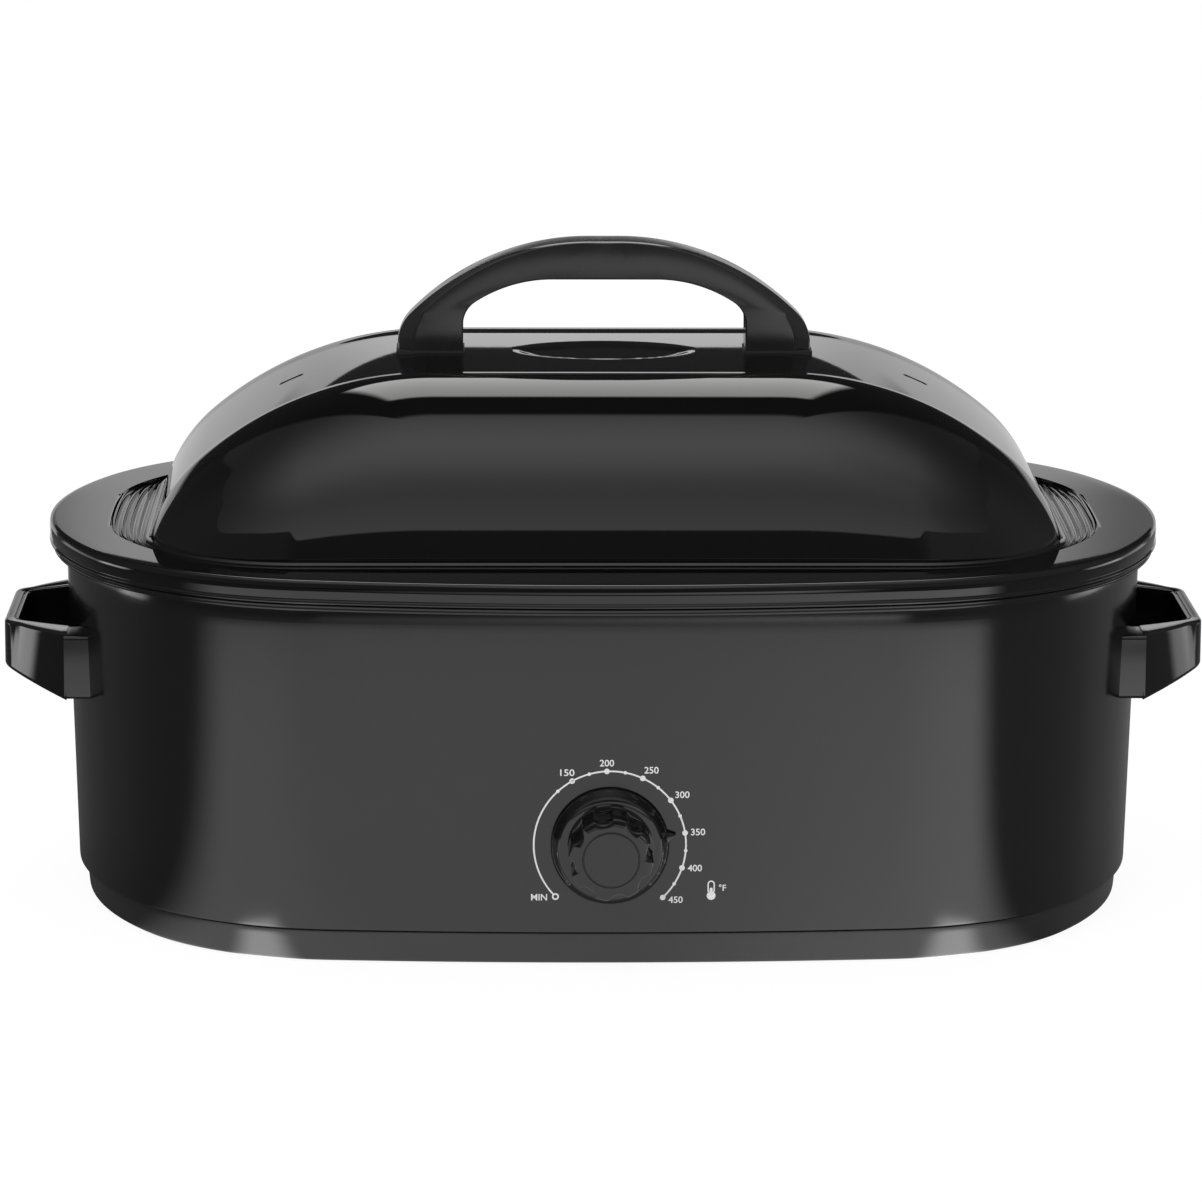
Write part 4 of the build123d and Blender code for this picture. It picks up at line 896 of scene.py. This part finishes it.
def capsule(centre, half_width, low, high):
    """Upright outline with round ends."""
    points = []
    for middle, first in ((high, -90.0), (low, 90.0)):
        place = (centre[0], centre[1] + middle)
        points += [polar(place, half_width, radians(first + 180.0 * share)) for share in shares(12)]
    return points


def lettering(words, centre, height, width=None):
    """Flat letters with their middle at the centre."""
    curve = bpy.data.curves.new("letters", "FONT")
    curve.body = words
    curve.resolution_u = 5
    curve.offset = 0.012
    holder = bpy.data.objects.new("letters", curve)
    mesh = bpy.data.meshes.new_from_object(holder)
    places = [vertex.co for vertex in mesh.vertices]
    low = [min(place[axis] for place in places) for axis in (0, 1)]
    high = [max(place[axis] for place in places) for axis in (0, 1)]
    tall = height / (high[1] - low[1])
    wide = width / (high[0] - low[0]) if width else tall
    points = [(centre[0] + (place.x - (low[0] + high[0]) / 2) * wide,
               centre[1] + (place.y - (low[1] + high[1]) / 2) * tall) for place in places]
    faces = [tuple(face.vertices) for face in mesh.polygons]
    bpy.data.objects.remove(holder)
    return points, faces


def thermometer():
    """Outline of a thermometer, its bulb and the filled part of its stem."""
    rim, bore = (capsule(THERMOMETER, half, 0.0, 3.1) for half in (1.75, 1.15))
    outline = [pair for both in zip(bore, rim) for pair in both]
    bulb = (THERMOMETER[0], THERMOMETER[1] - 2.6)
    filled = capsule(THERMOMETER, 0.75, -1.5, 0.6)
    return [
        (outline, grid_faces(len(rim), 2, closed_rows=True, closed_columns=False)),
        disc(bulb, 2.1),
        (filled, [tuple(range(len(filled)))]),
    ]


def make_dial():
    """White scale round the knob: an arc with dots, temperatures and a thermometer."""
    letter_height = 3.2
    parts = [band(DIAL_RADIUS - DIAL_LINE, DIAL_RADIUS + DIAL_LINE, DIAL_START, DIAL_END, 150)]
    parts += [disc(on_dial(turn), 1.35) for turn in LARGE_DOTS]
    parts += [disc(on_dial(turn), 0.85) for turn in SMALL_DOTS]
    parts.append(band(0.9, 1.7, 0.0, 360.0, 32, True, on_dial(LEAST_RING)))
    parts += [lettering(words, place, 3.3, LETTER_WIDTH) for words, place in TEMPERATURES]
    parts.append(lettering("MIN", (-33.7, -25.8), letter_height))
    parts.append(lettering("°F", (53.9, -21.3), letter_height))
    parts += thermometer()
    points, faces = [], []
    for layer, (flat, shapes) in enumerate(parts):
        lift = PRINT_LIFT + LAYER_LIFT * layer
        faces += [tuple(corner + len(points) for corner in face) for face in shapes]
        points += [on_wrap(x, z, lift) for x, z in flat]
    add_piece("dial_scale", points, faces, "housing", "wrap_paint", "dial_print", closed=False)


# ------ slits in the dome
def make_vent(side, name):
    """Steam slit along the dome's slope: a raised edge round a near-black fill, which is painted
    shade in place of the open slit.
    """
    half_length = 5.0
    centre = side * SLIT_X
    slope = atan2(dome_height(centre + 1) - dome_height(centre - 1), 2.0)
    shape = [(copysign(half_length, cos(turn)), cos(turn), sin(turn)) for turn in circle(40)]

    def outline(reach, lift):
        row = []
        for end, cosine, sine in shape:
            x = centre + (end + reach * cosine) * cos(slope)
            y = reach * sine
            row.append((x, y, FLANGE_TOP + dome_height(x) - crown_drop(x, y) + lift))
        return row

    sink = -0.3
    rim = [outline(*place) for place in (
        (1.75, sink), (1.7, 0.02), (1.5, 0.2), (1.25, 0.26), (1.05, 0.2), (0.95, -0.05),
        (0.95, sink))]
    faces = grid_faces(len(rim), len(shape), closed_rows=True)
    add_piece("vent_rim_" + name, flatten(rim), faces, "lid", "lid_enamel")
    # The lid is not cut through here: this near-black fill is painted shade where the slit's hollow
    # would be.
    slot = [outline(0.97, sink), outline(0.97, 0.03)]
    add_piece("vent_painted_shade_" + name, *skin(slot), "lid", "lid_enamel", "slot_dark")


make_wrap()
make_base_ring()
make_lid()
make_pan()
make_side_handle(-1, "left")
make_side_handle(1, "right")
make_lid_handle()
make_knob()
make_dial()
make_vent(-1, "left")
make_vent(1, "right")


# ------ studio
# Places round the oven are named by their turn and climb in degrees: turn is 0 in front of the
# oven and grows to the right, and climb is 0 at the horizon.
WHITE = (1.0, 1.0, 1.0, 1)
TENT_WHITE = (1.0, 0.99, 0.98, 1)
TENT_RADIUS = 9.0
TENT_Z = 0.2
BOARD_HALF = 0.9
BOARD_HEIGHT = 0.45
BOARD_BEHIND = 1.2  # from the ovals' centre
FLOOR_RINGS = (0.5, 1.0, 2.0, 4.0, 8.0)
FLOOR_Z = -0.0002
LAMP_SIZE = 1.4
LAMP_DISTANCE = 2.2
LAMP_AIM_Z = 0.15
PLAIN_LEVEL = 0.75  # the world's light on matt surfaces
SENSOR_WIDTH = 36.0
IMAGE_WIDTH = 1202  # pixels
FOCAL_PIXELS = 5956.5
CAMERA_TURN = -1.2
CAMERA_CLIMB = 11.228
CAMERA_ROLL = 0.226
CAMERA_DISTANCE = 3.0
CAMERA_AIM_Z = 0.14208
CAMERA_SLIDE = -0.0009  # of the aim along the image's width


def turn_about(x, y):
    """Turn of a place round the oven, as a term in degrees."""
    return x.math("ARCTAN2", y * -1.0) * (180 / pi)


def glowing(tree, light, colour=WHITE):
    """Emission with the strength that a term gives."""
    glow = new_node(tree, "Emission", [("Color", colour)])
    light.into(glow.inputs["Strength"])
    return glow.outputs[0]


def ray_kinds(tree):
    """Terms that are 1 for rays from the camera, and for rays mirrored or let through."""
    paths = new_node(tree, "LightPath")
    mirrored = Term(tree, paths.outputs["Is Glossy Ray"])
    let_through = Term(tree, paths.outputs["Is Transmission Ray"])
    return Term(tree, paths.outputs["Is Camera Ray"]), mirrored + let_through


def set_stage(thing, material, only_mirrored):
    """Give a studio thing its material, which lights nothing but shows in reflections."""
    material.cycles.emission_sampling = "NONE"
    thing.data.materials.append(material)
    if only_mirrored:
        thing.visible_camera = False
        thing.visible_diffuse = False
        thing.visible_shadow = False


def tent_light(tree):
    """Brightness of the tent by direction."""
    x, y, z = position_parts(tree, True)
    turn = turn_about(x, y)
    side = turn.math("ABSOLUTE")
    climb = z.math("ARCSINE") * (180 / pi)

    # A large panel is above and in front: brighter overhead, and less so on the right.
    overhead = (z.math("MAXIMUM", 0.5) * 2.0 - 1.0).math("POWER", 3.5) * 0.95
    forward = (y * -1.5).math("EXPONENT")
    panel = (overhead + 0.23) * forward * (1.0 - turn.rise(12.0, 40.0) * 0.25 * z.fall(0.85, 1.0))

    # Below it the tent is dim: darkest in the middle, brighter on the right, and dark behind.
    dim = side.rise(5.0, 18.0) * (turn.rise(-5.0, 5.0) * 0.09 + 0.06) + 0.09
    dim = dim * (1.0 - side.rise(80.0, 150.0) * 0.9)

    # The panel's lower edge, as a climb: lowest in the middle, highest beside the oven's ends.
    flank = side + turn.rise(-5.0, 5.0) * 7.0
    edge = side.rise(5.5, 14.5) * 8.6 - side.rise(42.0, 75.0) * 2.5 + 16.8
    edge = edge + flank.rise(68.0, 98.0) * 17.5 - side.rise(125.0, 155.0) * 17.0
    upper = (climb - edge).rise(-0.8, 0.8)

    # Straight behind the oven there is a dark gap, with a bright strip across it.
    gap = side.rise(148.0, 151.0) * climb.fall(75.0, 79.0)
    strip = side.rise(163.5, 166.5) * climb.rise(35.0, 36.5) * climb.fall(57.5, 60.0)
    return (dim + (panel - dim) * upper) * (1.0 - gap * 0.96) + strip * 2.8 + 0.03


def make_tent():
    """Studio round the oven, seen only in its reflections: soft panels and dark gaps."""
    bpy.ops.mesh.primitive_uv_sphere_add(segments=64, ring_count=32, radius=TENT_RADIUS)
    tent = bpy.context.object
    tent.name = "studio_tent"
    tent.location = (0.0, AXIS_Y, TENT_Z)
    material, tree, surface = new_material("studio_tent")
    glow = glowing(tree, tent_light(tree), TENT_WHITE)
    tree.links.new(glow, surface)
    set_stage(tent, material, only_mirrored=True)


def make_board():
    """White board behind the oven, seen only in reflections."""
    y = AXIS_Y + BOARD_BEHIND
    corners = [(-BOARD_HALF, y, 0.0), (BOARD_HALF, y, 0.0), (BOARD_HALF, y, BOARD_HEIGHT),
               (-BOARD_HALF, y, BOARD_HEIGHT)]
    board = mesh_object("back_board", corners, [(0, 1, 2, 3)])
    material, tree, surface = new_material("back_board")
    x, _, z = position_parts(tree, False)
    wide = x.math("ABSOLUTE")
    # It is dimmer towards its ends, mostly at the top, and dark low down in the middle.
    light = 0.95 - wide.rise(0.12, 0.3) * 0.3 - wide.rise(0.3, 0.41) * z.rise(0.37, 0.4) * 0.4
    light = light * (1.0 - z.fall(0.33, 0.37) * wide.fall(0.18, 0.24))
    tree.links.new(glowing(tree, light), surface)
    set_stage(board, material, only_mirrored=True)


def floor_light(tree):
    """Brightness of the floor in reflections, by turn and by reach in metres."""
    x, y, _ = position_parts(tree, False)
    turn = turn_about(x, y)
    leftward = turn * -1.0
    side = turn.math("ABSOLUTE")
    reach = (x * x + y * y).math("SQRT")

    # White paper in front, brighter on the right.
    paper = turn.rise(0.0, 45.0) * 0.6 + (1.15 + 0.15 * leftward.rise(25.0, 40.0))
    sector = turn.rise(-68.0, -52.0) * turn.fall(48.0, 58.0)
    light = 0.015 + turn.rise(20.0, 60.0) * 0.08 + paper * sector * reach.fall(0.88, 1.0)

    # A strip farther out, straight in front, that brightens to the right.
    strip = reach.rise(1.1, 1.3) * reach.fall(2.9, 3.4) * side.fall(15.0, 25.0)
    light = light + strip * (x * 1.4 + 0.95)

    # A bright card beside each end of the oven, and a dimmer one behind each of them.
    left = leftward.rise(91.0, 97.0) * leftward.fall(106.0, 113.0)
    right = turn.rise(92.0, 98.0) * turn.fall(114.0, 121.0)
    cards = left * 3.0 + right * 1.6 + side.rise(100.0, 108.0) * 0.6
    cards = cards * reach.rise(1.3, 1.45) * reach.fall(2.4, 2.7)
    light = light + cards * side.fall(135.0, 140.0)

    # An even light behind the oven, and a bright pool by each front corner of the base ring.
    light = light + side.rise(148.0, 156.0) * 0.8
    pools = side.rise(40.0, 44.0) * side.fall(46.0, 50.0) * reach.fall(0.282, 0.3)
    return light + pools * 4.6


def make_floor():
    """Pale floor with a faint shadow, and its own pattern of light in reflections."""
    count = 64
    points = [(0.0, 0.0, 0.0)]
    for radius in FLOOR_RINGS:
        points += [(radius * cos(turn), radius * sin(turn), 0.0) for turn in circle(count)]
    faces = [(0, 1 + step, 1 + (step + 1) % count) for step in range(count)]
    faces += grid_faces(len(FLOOR_RINGS), count, 1)
    floor = mesh_object("floor", points, faces)
    floor.location = (0.0, AXIS_Y, FLOOR_Z)
    material, tree, surface = new_material("floor")
    light = floor_light(tree)
    seen, mirrored = ray_kinds(tree)
    glow = glowing(tree, seen * 0.93 + mirrored * light)
    paper = new_node(tree, "BsdfDiffuse")
    shade = 0.8 - (seen + mirrored) * 0.7
    grey = new_node(tree, "CombineColor")
    for socket in grey.inputs[:3]:
        shade.into(socket)
    tree.links.new(grey.outputs[0], paper.inputs["Color"])
    both = new_node(tree, "AddShader")
    tree.links.new(glow, both.inputs[0])
    tree.links.new(paper.outputs[0], both.inputs[1])
    tree.links.new(both.outputs[0], surface)
    set_stage(floor, material, only_mirrored=False)


def make_world():
    """Even light for matt surfaces, and plain white behind everything."""
    world = bpy.data.worlds.new("studio")
    bpy.context.scene.world = world
    world.use_nodes = True
    tree = world.node_tree
    seen, mirrored = ray_kinds(tree)
    strength = (seen + mirrored) * (1.0 - PLAIN_LEVEL) + PLAIN_LEVEL
    background = tree.nodes["Background"]
    background.inputs["Color"].default_value = WHITE
    strength.into(background.inputs["Strength"])
    world.cycles.sampling_method = "NONE"


def aim_from(thing, aim, turn, climb, distance):
    """Put a lamp or a camera at a distance from its aim, and turn it to look there."""
    turn, climb = radians(turn), radians(climb)
    way = Vector((sin(turn) * cos(climb), -cos(turn) * cos(climb), sin(climb)))
    thing.location = aim + way * distance
    thing.rotation_euler = (-way).to_track_quat("-Z", "Y").to_euler()


def make_lamp(name, turn, climb, power):
    """Soft area lamp that points at the oven and doesn't show in reflections."""
    lamp = bpy.data.lights.new(name, "AREA")
    lamp.shape = "DISK"
    lamp.size = LAMP_SIZE
    lamp.energy = power
    holder = link_object(name, lamp)
    holder.visible_glossy = False
    aim_from(holder, Vector((0.0, AXIS_Y, LAMP_AIM_Z)), turn, climb, LAMP_DISTANCE)


def make_camera():
    """Camera at the photograph's place: slightly left of the middle and 11 degrees up."""
    view = bpy.data.cameras.new("camera")
    view.sensor_width = SENSOR_WIDTH
    view.lens = FOCAL_PIXELS / IMAGE_WIDTH * SENSOR_WIDTH
    view.clip_end = 100.0
    camera = link_object("camera", view)
    turn = radians(CAMERA_TURN)
    aim = Vector((CAMERA_SLIDE * cos(turn), AXIS_Y + CAMERA_SLIDE * sin(turn), CAMERA_AIM_Z))
    aim_from(camera, aim, CAMERA_TURN, CAMERA_CLIMB, CAMERA_DISTANCE)
    camera.rotation_euler.rotate_axis("Z", radians(CAMERA_ROLL))
    bpy.context.scene.camera = camera


make_tent()
make_board()
make_floor()
make_world()
make_lamp("key_lamp", -25.0, 50.0, 12.0)
make_lamp("fill_lamp", 150.0, 40.0, 8.0)
make_camera()
bpy.context.scene.view_settings.view_transform = "Standard"
